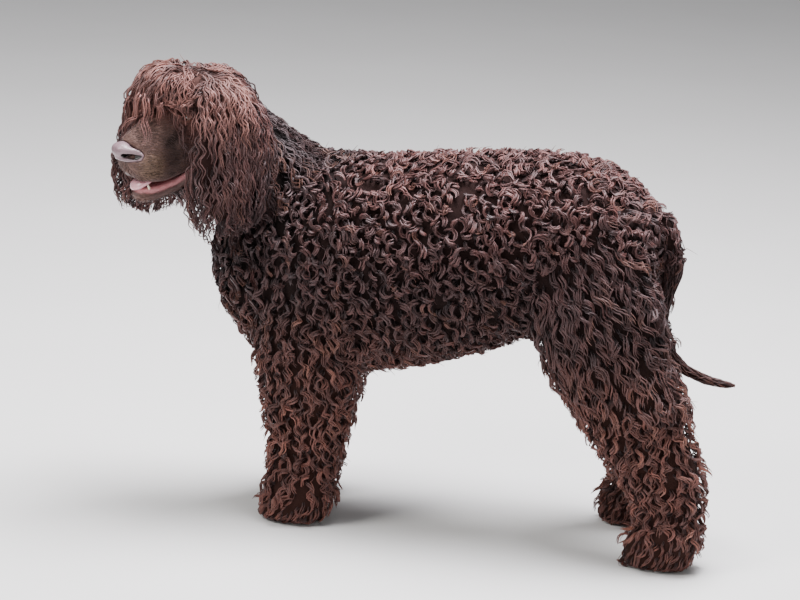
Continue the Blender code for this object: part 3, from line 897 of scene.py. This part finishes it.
# %% the lock tree
LOCK_INPUTS = {
    "Geometry": "Geometry", "Spacing": 0.017, "Strands": 5, "Points": 12, "Length": 0.04, "Bundle Width": 0.004,
    "Curl Radius": 0.007, "Turns": 1.5, "Strand Radius": 0.0019, "Lift": 0.009, "Stand": 0.0, "Fall": 0.3,
    "Wander": 0.25, "Loop": 0.0, "Flatten": 0.75, "Seed": 1, "Finish": "Material",
}


ARROWS = "FLOAT_VECTOR"
ABOVE_FLOOR = 0.003  # the lowest that a hair hangs
PATCH = 0.003  # how much of the bake's square each strand spreads over


def new_group(name, kind, inputs, outputs):
    """opens a group tree; a socket is given by the word for its type or by the number it starts with"""
    tree = open_tree(bpy.data.node_groups.new(name, kind))
    for way, sockets in (("INPUT", inputs), ("OUTPUT", outputs)):
        for label, start in sockets.items():
            word = start if isinstance(start, str) else type(start).__name__.capitalize()
            socket = tree.interface.new_socket(label, in_out=way, socket_type=f"NodeSocket{word}")
            if word != start:
                socket.default_value = start
    entry, leave = tree.nodes.new("NodeGroupInput"), tree.nodes.new("NodeGroupOutput")
    return tree, {socket.name: Wire(socket) for socket in entry.outputs if socket.name}, leave.inputs


def geo(kind, values=None, **settings):
    return put(kind, values, family="Geometry", **settings)


def named(name, kind="FLOAT"):
    return geo("InputNamedAttribute", {"Name": name}, data_type=kind)


def keep(geometry, name, value, kind="FLOAT", domain="POINT", **more):
    values = {"Geometry": geometry, "Name": name, "Value": value, **more}
    return geo("StoreNamedAttribute", values, data_type=kind, domain=domain)


def shifted(geometry, **values):
    return geo("SetPosition", {"Geometry": geometry, **values})


def copies(geometry, amount):
    return geo("DuplicateElements", {"Geometry": geometry, "Amount": amount}, domain="POINT")


def chance(low, high, seed, **number):
    """a random number for each point, the same on every run"""
    return put("RandomValue", {2: low, 3: high, "Seed": seed, **number}, 1, "Function", data_type="FLOAT")


def on_skin(skin, name, place, kind=ARROWS):
    """an attribute of the guide, read at its nearest place"""
    values = {"Mesh": skin, "Value": named(name, kind), "Sample Position": place}
    return geo("SampleNearestSurface", values, data_type=kind)


def scatter_roots(ask):
    """roots over the guide, then a few strands at each root, then the points of every strand"""
    seed, gap, width = ask["Seed"], ask["Spacing"], ask["Bundle Width"]
    values = {"Mesh": ask["Geometry"], "Distance Min": gap, "Density Max": 3.0 / (gap * gap),
              "Density Factor": named("here"), "Seed": seed}
    roots = geo("DistributePointsOnFaces", values, distribute_method="POISSON")
    roots = keep(roots, "root_uv", named("unwrap", ARROWS), ARROWS)
    roots = keep(roots, "fortune", chance(0.0, 1.0, seed))
    roots = keep(roots, "size", chance(0.62, 1.25, seed + 1))
    number = geo("InputIndex")
    strands = keep(copies(roots, ask["Strands"]), "strand", number, "INT")
    for name, shift in (("off_side", 2), ("off_along", 3), ("off_up", 4)):
        strands = keep(strands, name, chance(-1.0, 1.0, seed + shift, ID=number))
    flow, out = named("flow", ARROWS), named("out", ARROWS)
    sideways = vector("CROSS_PRODUCT", out, flow)
    shift = sideways * (named("off_side") * width) + flow * (named("off_along") * width)
    strands = shifted(strands, Offset=shift)
    astray = (calc("FRACT", named("fortune") * 17.3) - 0.5) * 2.0 * ask["Wander"]
    twins = copies(keep(strands, "astray", astray), ask["Points"])
    return keep(twins, "rank", twins[1], "INT")


def walk_over_skin(ask, points):
    """each point takes as many steps as its rank, along the lie of the hair"""
    skin, last = ask["Geometry"], ask["Points"] - 1
    begin, end = TREE.nodes.new("GeometryNodeRepeatInput"), TREE.nodes.new("GeometryNodeRepeatOutput")
    begin.pair_with_output(end)
    fill(begin.inputs["Iterations"], last)
    fill(begin.inputs["Geometry"], points)
    walker = Wire(begin.outputs["Geometry"])
    going = put("Compare", {2: named("rank", "INT"), 3: walker["Iteration"]}, 0, "Function", data_type="INT",
                operation="GREATER_THAN")
    pace = ask["Length"] / last * (named("size") * named("long"))
    flow, place = named("flow", ARROWS), geo("InputPosition")
    ahead = place + flow * pace
    values = {0: skin, "Sample Position": ahead}
    skin_place = geo("Proximity", values, target_element="FACES")
    hang, out = on_skin(skin, "loose", place, "FLOAT"), on_skin(skin, "out", ahead)
    sunk = calc("MAXIMUM", dot(ahead - skin_place, out) * -1.0, 0.0) * hang
    goal = blend(hang, skin_place, ahead, "VECTOR") + out * sunk
    walker = shifted(walker, Selection=going, Position=goal)
    skin_flow = on_skin(skin, "flow", place)
    skin_flow = skin_flow + vector("CROSS_PRODUCT", out, skin_flow) * named("astray")
    falling = flow + arrow(0.0, 0.0, ask["Fall"] * -1.0)
    new_flow = vector("NORMALIZE", blend(hang, skin_flow, falling, "VECTOR"))
    fill(end.inputs["Geometry"], keep(walker, "flow", new_flow, ARROWS, Selection=going))
    return Wire(end.outputs["Geometry"])


def wind_up(ask, points):
    """winds the walk into a spring and lifts it off the skin"""
    points = keep(points, "part", named("rank", "INT") / (ask["Points"] - 1))
    part, fortune, size, off_up = (named(name) for name in ("part", "fortune", "size", "off_up"))
    out = on_skin(ask["Geometry"], "out", geo("InputPosition"))
    flow = named("flow", ARROWS)
    sideways = vector("CROSS_PRODUCT", out, flow)
    handed = calc("SIGN", calc("FRACT", fortune * 7.31) - 0.5)
    angle = (part * ask["Turns"] * (size * handed) + fortune + off_up * 0.07) * (2 * math.pi)
    opening = spread(part, 0.0, 0.28, 0.15, 1.0, smooth=True)
    closing = spread(part, 0.45, 1.0, 1.0, 0.55)
    reach = ask["Curl Radius"] * opening * (closing * size) * (1.0 + named("off_side") * 0.12)
    across = calc("COSINE", angle) * reach
    along = calc("SINE", angle) * reach * ask["Loop"]
    spring = calc("SINE", angle + fortune * 9.0) * (reach * ask["Flatten"])
    rise = ask["Lift"] * spread(part, 0.0, 0.3, 0.0, 1.0) * (1.0 + off_up * 0.22)
    height = spring + rise * named("deep") + part * part * (ask["Stand"] * fortune)
    height = calc("MAXIMUM", height, ask["Strand Radius"] * 0.5)
    points = shifted(points, Offset=sideways * across + flow * along + out * height)
    x = put("SeparateXYZ", {0: geo("InputPosition")})
    return shifted(points, Position=arrow(x, x[1], calc("MAXIMUM", x[2], ABOVE_FLOOR)))


def thicken(ask, points):
    """turns each strand's points into a tapering closed tube"""
    part = named("part")
    values = {0: points, "Curve Group ID": named("strand", "INT"), "Weight": part}
    curves = geo("PointsToCurves", values)
    swell, taper = spread(part, 0.0, 0.25, 0.55, 1.0), spread(part, 0.55, 1.0, 1.0, 0.22)
    radius = swell * taper * ((1.0 + named("off_along") * 0.25) * ask["Strand Radius"])
    ring = geo("CurvePrimitiveCircle", {"Resolution": 3, "Radius": 1.0})
    capture = TREE.nodes.new("GeometryNodeCaptureAttribute")
    capture.capture_items.new("FLOAT", "around")
    fill(capture.inputs["Geometry"], ring)
    fill(capture.inputs[1], geo("SplineParameter"))
    profile, around = Wire(capture.outputs["Geometry"]), Wire(capture.outputs[1])
    values = {"Curve": curves, "Profile Curve": profile, "Scale": radius, "Fill Caps": True}
    mesh = keep(geo("CurveToMesh", values), "around", around)
    spot = named("root_uv", ARROWS) + arrow(around * PATCH, part * PATCH, 0.0)
    return keep(mesh, "OFBake", spot, "FLOAT2", "CORNER")


LOCKS, ask, leave = new_group("grow_locks", "GeometryNodeTree", LOCK_INPUTS, {"Geometry": "Geometry"})
mesh = thicken(ask, wind_up(ask, walk_over_skin(ask, scatter_roots(ask))))
for kind in ("SetShadeSmooth", "RealizeInstances"):
    mesh = geo(kind, {"Geometry": mesh})
fill(leave[0], geo("SetMaterial", {"Geometry": mesh, "Material": ask["Finish"]}))
print("lock tree:", len(LOCKS.nodes), "nodes,", len(LOCK_INPUTS) - 1, "inputs")

# %% [markdown]
# ## Liver brown
# The whole dog is one colour, a dark liver brown, but it isn't even: the face is a dull tan, the crown is redder,
# the legs turn a warm rust towards the paws, and here and there the sun has bleached a lock. Light and shade are
# painted in as well: the top of the back and of the crown is painted paler, as light from above, the back with a
# cool bloom; the lower flanks, the neck and chest under the ears, the cheeks and the nostrils are painted darker, as
# shade; and every hair is painted darker towards its root, as shade deep in the coat. One node group works these
# shades out from the place on the dog. Skin and hair both use it, so the markings agree.

# %% the shared shades
def nearness(place, centre, inner, outer):
    """1 close to a point and 0 far from it"""
    return spread(vector("DISTANCE", place, tuple(centre), pick=1), inner, outer, 1.0, 0.0, smooth=True)


def on_head(x, y, z):
    return HEAD @ Vector((x, y, z))


def build_shades():
    """colour of the coat from the place on the dog, the part of the hair and its fortune"""
    group, ask, leave = new_group("liver_shades", "ShaderNodeTree", {
        "Place": "Vector", "Part": 0.5, "Fortune": 0.5, "Short": 1.0}, {"Color": "Color", "Roughness": "Float"})
    place, part, fortune, short = ask.values()
    height = put("SeparateXYZ", {0: place}, pick=2)
    shade = blend(speckle(place, 9.0), (0.038, 0.013, 0.0115, 1), (0.066, 0.024, 0.0205, 1))
    # painted light and shade: the coat is darker low on the body and paler along the top of the back, as if lit from
    # above
    shade = shade * (spread(height, 0.34, 0.5, 0.48, 1.0) * spread(height, 0.5, 0.61, 1.0, 1.5))
    legs = spread(height, 0.43, 0.17, 0.0, 0.9, smooth=True)
    shade = blend(legs, shade, (0.112, 0.039, 0.027, 1))
    from_brow = place - tuple(HANGING.translation)
    backward = dot(from_brow, tuple(turned(HANGING, 0, 1, 0)))
    upward = put("SeparateXYZ", {0: from_brow}, pick=2)
    crown = nearness(place, HANGING @ Vector((0, 0.01, -0.03)), 0.15, 0.19)
    crown = crown * spread(backward, 0.07, 0.1, 1.0, 0.0, smooth=True)
    # the crown's top is redder and paler than the hanging ears: partly the crown's own colour, partly painted light
    # from above
    ears = blend(speckle(place, 30.0), (0.046, 0.0165, 0.014, 1), (0.084, 0.032, 0.027, 1))
    top = blend(speckle(place, 30.0), (0.122, 0.044, 0.035, 1), (0.215, 0.094, 0.076, 1))
    shade = blend(crown, shade, blend(spread(upward, -0.05, 0.03, 0.0, 1.0, smooth=True), ears, top))
    # painted shade: the neck and chest under the ears are darkened, as in the ears' shadow
    neck_shade = nearness(place, HANGING @ Vector((0, 0.2, -0.14)), 0.13, 0.21) * 0.9
    shade = blend(neck_shade * (1.0 - crown), shade, (0.012, 0.005, 0.005, 1))
    face = nearness(place, on_head(0, -0.08, -0.055), 0.055, 0.09) * short
    shade = blend(face, shade, (0.11, 0.062, 0.051, 1))
    # painted shade: the cheeks behind the whisker pads are darkened
    behind_pad = dot(place - tuple(on_head(0, -0.07, -0.05)), tuple(turned(HEAD, 0, 1, -0.35)))
    cheeks = face * spread(behind_pad, 0.0, 0.035, 0.0, 0.62, smooth=True)
    shade = blend(cheeks, shade, (0.03, 0.018, 0.017, 1))
    dots = put("TexVoronoi", {"Vector": place, "Scale": 170.0, "Randomness": 0.7})
    for side in (1, -1):
        pad = face * nearness(place, on_head(side * 0.031, -0.078, -0.064), 0.012, 0.03)
        shade = blend(pad * 0.8, shade, (0.155, 0.098, 0.066, 1))
        shade = blend(spread(dots, 0.18, 0.34, 0.85, 0.0) * pad, shade, (0.022, 0.012, 0.01, 1))
        haw = nearness(place, on_head(side * 0.041, -0.023, -0.014), 0.003, 0.011) * (short * 0.85)
        shade = blend(haw, shade, (0.23, 0.07, 0.045, 1))
        # painted shade inside each nostril
        nostril = nearness(place, on_head(side * 0.0258, -0.0965, -0.0424), 0.0036, 0.005)
        shade = blend(nostril, shade, (0.01, 0.005, 0.005, 1))
    # painted shade: each hair is darker towards its root, as shade deep in the coat, a little less on the crown
    root_shade = spread(part, 0.0, 0.55, 0.0, 1.0, smooth=True)
    root_shade = blend(root_shade, blend(crown, 0.12, 0.25, "FLOAT"), 1.1, "FLOAT")
    luck = spread(calc("FRACT", fortune * 5.0), 0.0, 1.0, 0.62, 1.4)
    bleached = spread(fortune, 0.72, 1.0, 0.0, 0.7) * spread(part, 0.3, 0.9, 0.0, 1.0)
    shade = blend(bleached, shade, blend(0.5, shade, (0.11, 0.052, 0.032, 1)) * 1.5)
    fill(leave["Color"], shade * (root_shade * luck))
    fill(leave["Roughness"], spread(speckle(place, 60.0), 0.3, 0.7, 0.46, 0.64))
    return group


SHADES = build_shades()


def shades_in(part, fortune, short=1.0):
    """the shared shades in the open material, as a colour and a roughness"""
    values = {"Place": own_place(), "Part": part, "Fortune": fortune, "Short": short}
    colour = put("Group", values, node_tree=SHADES)
    return colour, colour["Roughness"]


def coat_material(name, short=0.0, sheen=0.06, gloss=0.5):
    """fine hairs along each strand, over the shared shades"""
    shader = new_material(name)
    part, fortune, around = stored("part"), stored("fortune"), stored("around")
    colour, rough = shades_in(part, fortune, short)
    hairs = speckle(arrow(around * 8.0, part * 1.5, fortune * 40.0), 1.0, 1.0)
    bumped(shader, hairs, 0.001, 0.7)
    paint(shader, Base_Color=colour * spread(hairs, 0.32, 0.68, 0.5, 1.5), Roughness=rough, Sheen_Weight=sheen,
          Sheen_Roughness=0.4, Sheen_Tint=(0.8, 0.72, 0.78, 1), Specular_IOR_Level=gloss,
          Specular_Tint=(1.0, 0.86, 0.9, 1))
    return bpy.data.materials[name]


CURLS = coat_material("liver_curls")
# a shaded copy of the curls, with less sheen and gloss, for the neck, which lies in the ears' shade
SHADED = coat_material("shaded_curls", sheen=0.02, gloss=0.25)
SHORT_FUR = coat_material("short_fur", short=1.0)
print("coat material with the shared shades")

# %% [markdown]
# ## Growing the coat
# The coat is grown part by part, because each part wears its hair differently: crisp curls on the body, longer
# wavy locks on the neck and chest, ringlets on the legs, long locks on the ears and crown, and almost none on the
# tail. Each part is one modifier with its own numbers on the same guide, turned into a plain mesh at once.

# %% growing one part
COAT_COUNT = {}
USED_UP = ("astray", "root_uv", "size", "strand", "off_side", "off_along", "off_up", "rank", "flow", "out", "here",
           "loose", "long", "deep", "unwrap")
IDENTIFIERS = {item.name: item.identifier for item in LOCKS.interface.items_tree if item.in_out == "INPUT"}


def grow(name, where, seed, look, finish=CURLS, source=guide):
    """grows one piece of coat where the guide's points are chosen"""
    piece = show(f"coat_{name}", source.data.copy())
    store(piece.data, "here", where)
    modifier = piece.modifiers.new("locks", "NODES")
    modifier.node_group = LOCKS
    for key, value in (("Seed", seed), ("Finish", finish), *zip(COLUMNS, LOOKS[look])):
        modifier[IDENTIFIERS[key]] = value
    mesh = baked(piece).data
    for used_up in USED_UP:
        if mesh.attributes.get(used_up):
            mesh.attributes.remove(mesh.attributes[used_up])
    mesh.calc_loop_triangles()
    COAT_COUNT[name] = len(mesh.loop_triangles)
    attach(piece, "root")
    print(piece.name, COAT_COUNT[name], "triangles")


def mapped(rules, times=4, default=1.0):
    """a number for every guide point from rules of (points, value), softened at the borders"""
    values = np.full(len(GUIDE_POINTS), default)
    for where, value in rules:
        values = np.where(where, value, values)
    return evened(guide.data, values, times)


ACROSS, BACKWARD, UPWARD = moved(HANGING.inverted(), GUIDE_POINTS).T
IN_HEAD = moved(HEAD_BACK, GUIDE_POINTS).T
EARS, CROWN, FACE_AREA = chosen("ear"), chosen("topknot"), chosen("head", "lower_jaw")
BARE_FACE = FACE_AREA & (IN_HEAD[1] < 0.03)
BELLY = chosen("trunk") & (GUIDE_NORMALS[:, 2] < -0.5)
REAR_OF_LEG = chosen("foreleg", "thigh", "shank") & (GUIDE_NORMALS[:, 1] > 0.3)
for label, part in (("crown", CROWN), ("ears", EARS)):
    print(label, "from", UPWARD[part].min().round(3), "to", UPWARD[part].max().round(3), "above the eyes")
OVER_BROW = np.maximum(ramp(UPWARD, 0.05, 0.02, 0.2, 0.85), ramp(BACKWARD, -0.005, -0.045, 0.0, 1.0))
store(guide.data, "loose", mapped([
    (BELLY, 0.45), (chosen("neck"), 0.14), (REAR_OF_LEG, 0.25),
    (EARS, ramp(UPWARD, -0.08, -0.14, 0.15, 0.9)), (CROWN, OVER_BROW), (FACE_AREA, 1.0),
], default=0.06))
store(guide.data, "long", mapped([
    (BELLY, 1.15), (EARS, ramp(UPWARD, -0.05, -0.15, 1.0, 0.28)),
    (CROWN, ramp(BACKWARD, 0.06, -0.02, 1.0, 1.25)),
    (CROWN & (np.abs(ACROSS - 0.042) < 0.022) & (BACKWARD < 0.016), 0.4), (BARE_FACE, 0.55),
], 2))
LUMPS = evened(guide.data, np.random.default_rng(8).random(len(GUIDE_POINTS)), 5)
LUMPS = 0.65 + 0.7 * (LUMPS - LUMPS.min()) / (LUMPS.max() - LUMPS.min())
EAR_FRONT = EARS & (ACROSS > 0.0) & (UPWARD < -0.06) & (GUIDE_NORMALS @ PARTING_WAY < -0.25)
store(guide.data, "deep", mapped([(chosen("tail"), 0.4), (EAR_FRONT, 2.2)]) * LUMPS)

# %% looks
# Each look is a row of numbers under the names of the lock tree's inputs.
COLUMNS = ("Spacing", "Strands", "Points", "Length", "Bundle Width", "Curl Radius", "Loop", "Turns", "Strand Radius",
           "Lift", "Stand", "Flatten", "Wander", "Fall")
LOOKS = {
    "curled": (0.0103, 5, 8, 0.021, 0.0034, 0.0068, 0.80, 1.0, 0.0017, 0.0085, 0.005, 0.75, 0.50),
    "wavy": (0.0120, 5, 13, 0.055, 0.0046, 0.0048, 0.30, 2.2, 0.0013, 0.0085, 0.005, 0.60, 0.30),
    "ringlets": (0.0112, 4, 10, 0.034, 0.0034, 0.0054, 0.40, 1.5, 0.0016, 0.0085, 0.012, 0.70, 0.50),
    "fluffy": (0.0119, 5, 9, 0.042, 0.0048, 0.0046, 0.30, 1.2, 0.0013, 0.0090, 0.007, 0.75, 0.35),
    "paws": (0.0085, 3, 5, 0.020, 0.0030, 0.0022, 0.0, 0.8, 0.0012, 0.0030, 0.004, 0.75, 0.50),
    "tail_root": (0.0112, 4, 10, 0.034, 0.0034, 0.0045, 0.40, 1.5, 0.0016, 0.0040, 0.002, 0.70, 0.50),
    "tail": (0.0042, 2, 4, 0.020, 0.0010, 0.0004, 0.0, 0.5, 0.0007, 0.0016, 0.001, 0.75, 0.50),
    "long": (0.0115, 4, 19, 0.085, 0.0054, 0.0034, 0.0, 2.8, 0.0012, 0.0110, 0.004, 0.70, 0.22),
    "crown": (0.0100, 4, 19, 0.080, 0.0054, 0.0034, 0.0, 2.8, 0.0012, 0.0110, 0.004, 0.70, 0.22),
    "fringe": (0.0092, 4, 18, 0.088, 0.0054, 0.0034, 0.0, 2.6, 0.0012, 0.0100, 0.004, 0.70, 0.24, 0.44),
    "nape": (0.0105, 4, 14, 0.060, 0.0054, 0.0034, 0.0, 2.0, 0.0012, 0.0110, 0.004, 0.70, 0.22),
    "wisps": (0.0300, 1, 7, 0.030, 0.0034, 0.0050, 0.80, 1.0, 0.0007, 0.0080, 0.016, 0.75, 0.50),
    "tufts": (0.0026, 1, 3, 0.006, 0.0010, 0.0003, 0.0, 0.4, 0.00045, 0.0010, 0.0, 0.50, 0.25),
}

# %% trunk, neck, legs, tail, ears and crown
LEFT = GUIDE_POINTS[:, 0] > 0.0
FRONT = GUIDE_POINTS[:, 1] < 0.06
for label, side in (("left", LEFT), ("right", ~LEFT)):
    for end, part in (("front", FRONT), ("rear", ~FRONT)):
        grow(f"{end}_{label}", chosen("trunk") & side & part, 11 + len(COAT_COUNT), "curled")
NEAR_EYE = CROWN & (ACROSS > 0.02) & (BACKWARD < 0.018) & (UPWARD < 0.014)
grow("neck", chosen("neck"), 31, "wavy", SHADED)
for name, seed, look in (
    ("foreleg_left", 32, "ringlets"), ("foreleg_right", 33, "ringlets"), ("thighs", 34, "fluffy"),
    ("shank_left", 35, "ringlets"), ("shank_right", 45, "ringlets"), ("paws", 36, "paws"),
    ("tail_root", 37, "tail_root"), ("tail", 38, "tail"), ("ear_left", 39, "long"), ("ear_right", 49, "long"),
):
    parts = {"thighs": ["thigh"], "paws": ["forepaw", "hindpaw"]}.get(name, [name])
    grow(name, chosen(*parts), seed, look)
grow("crown", CROWN & ~NEAR_EYE, 40, "crown")

# %% fringe, nape and wisps
fringe_guide = show("fringe_guide", guide.data.copy())
store(fringe_guide.data, "flow", unit(np.array([turned(HANGING, x * 5, -1.0, -0.05) for x in ACROSS])))
store(fringe_guide.data, "loose", np.maximum(ramp(BACKWARD, -0.005, -0.03, 0.0, 1.0), FACE_AREA))
ABOVE_BROW = CROWN & (BACKWARD < 0.022) & (UPWARD > 0.005) & (np.abs(ACROSS) < 0.08)
ABOVE_BROW &= np.abs(ACROSS - 0.045) > 0.012
grow("fringe", ABOVE_BROW, 41, "fringe", source=fringe_guide)
bpy.data.objects.remove(fringe_guide)
THROAT = FACE_AREA & (IN_HEAD[1] > -0.04) & (IN_HEAD[2] < -0.095) & (GUIDE_NORMALS[:, 2] < -0.4)
NAPE = (FACE_AREA & (IN_HEAD[1] > 0.026)) | THROAT
grow("nape", NAPE, 42, "nape")
grow("wisps", ~(EARS | FACE_AREA | chosen("tail", "forepaw", "hindpaw")), 60, "wisps")
print("whole coat:", sum(COAT_COUNT.values()), "triangles")

# %% [markdown]
# ## The short coat of the face
# From the eyes to the nose the hair is only a few millimetres long and lies flat, back from the nose. Most of it
# is bump in the skin's material. A thin layer of tiny tufts breaks the outline so that the muzzle doesn't look
# moulded. Lips, gums, lids and the nose stay bare.

# %% masks on the skin
def lip_masks(places, upward):
    """how much of the pink mouth, the dark lips and the lids a point has"""
    gum, upper, lower = (cord_form(places, line) for line in (GUM, UPPER_LIP, LOWER_LIP))
    inside = egg(places, (0, -0.055, -0.094), (0.019, 0.05, 0.0095)) < 0
    pink = (((gum < np.minimum(upper, lower)) & (gum < 0.004)) | inside) & (places[1] < 0.0)
    leather = (((upper < 0.0012) & (upward < -0.25)) | ((lower < 0.0012) & (upward > -0.2))) & ~pink
    rows = eye_axes()
    lid = egg(places, EYE_LEFT + rows[1] * EYE_FRONT - rows[2] * 0.002, (0.0125, 0.013, 0.0085), rows) < 0
    return [mask.astype(float) for mask in (pink, leather, lid)]


SKIN_POINTS = points_of(skin.data)
near_guide = KDTree(len(GUIDE_POINTS))
for i, point in enumerate(GUIDE_POINTS):
    near_guide.insert(point, i)
near_guide.balance()
OWN_GUIDE = np.array([near_guide.find(point)[1] for point in SKIN_POINTS])
masks = lip_masks(mirrored(moved(HEAD_BACK, SKIN_POINTS).T), normals_of(skin.data)[:, 2])
for name, mask in zip(("pink", "leather", "lid"), masks):
    store(skin.data, name, evened(skin.data, mask, 2))
    print(name, "on", int(mask.sum()), "points")
store(skin.data, "face", evened(skin.data, BARE_FACE[OWN_GUIDE].astype(float), 3))

# %% short fur
face_guide = show("face_guide", guide.data.copy())
GUIDE_HALF = mirrored(IN_HEAD)
pink, leather, lid = lip_masks(GUIDE_HALF, GUIDE_NORMALS[:, 2])
nose_near = (nose_shape(GUIDE_HALF) < 0.0015) | (cord_form(GUIDE_HALF, NOSTRIL) < 0.0022)
FURRED = ((BARE_FACE | NEAR_EYE) & ~nose_near) * (1 - pink) * (1 - leather) * (1 - lid)
for name, value in (("deep", 1.0), ("long", 1.0), ("loose", 0.0)):
    store(face_guide.data, name, np.full(len(GUIDE_POINTS), value))
grow("face", FURRED, 50, "tufts", SHORT_FUR, face_guide)
bpy.data.objects.remove(face_guide)

# %% skin
shader = new_material("liver_skin", skin)
place = own_place()
colour, _ = shades_in(0.42, 0.5)
# painted shade: under the coat the skin takes the dark shade of the hair roots, so the gaps between curls read as
# shade
shade_under_coat, _ = shades_in(0.17, 0.2)
fur_way = put("Mapping", {"Vector": place, "Rotation": tuple(HEAD.to_euler()), "Scale": (1.0, 0.22, 1.0)},
              vector_type="TEXTURE")
hairs = speckle(fur_way, 1400.0, 2.0)
colour = blend(spread(speckle(place, 90.0), 0.35, 0.65, 0.0, 0.55), colour, colour * 0.45)
colour = blend(spread(hairs, 0.3, 0.7, 0.0, 0.45), colour, colour * 1.9)
colour = blend(stored("face"), shade_under_coat, colour)
colour = blend(stored("leather"), colour, (0.085, 0.05, 0.046, 1))
colour = blend(stored("lid"), colour, (0.13, 0.05, 0.04, 1))
flesh = blend(speckle(place, 160.0), (0.33, 0.095, 0.1, 1), (0.58, 0.27, 0.28, 1))
colour = blend(stored("pink"), colour, flesh)
wet = calc("MAXIMUM", stored("pink"), stored("leather") * 0.6)
dull = calc("MAXIMUM", spread(wet, 0.0, 1.0, 0.62, 0.2), 1.0 - stored("face"))
bumped(shader, hairs + speckle(place, 170.0) * 1.5, 0.0005, 0.8)
paint(shader, Base_Color=colour, Roughness=dull, Specular_IOR_Level=0.22)
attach(skin, "root")
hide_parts(*FLESH)
bpy.data.objects.remove(guide)
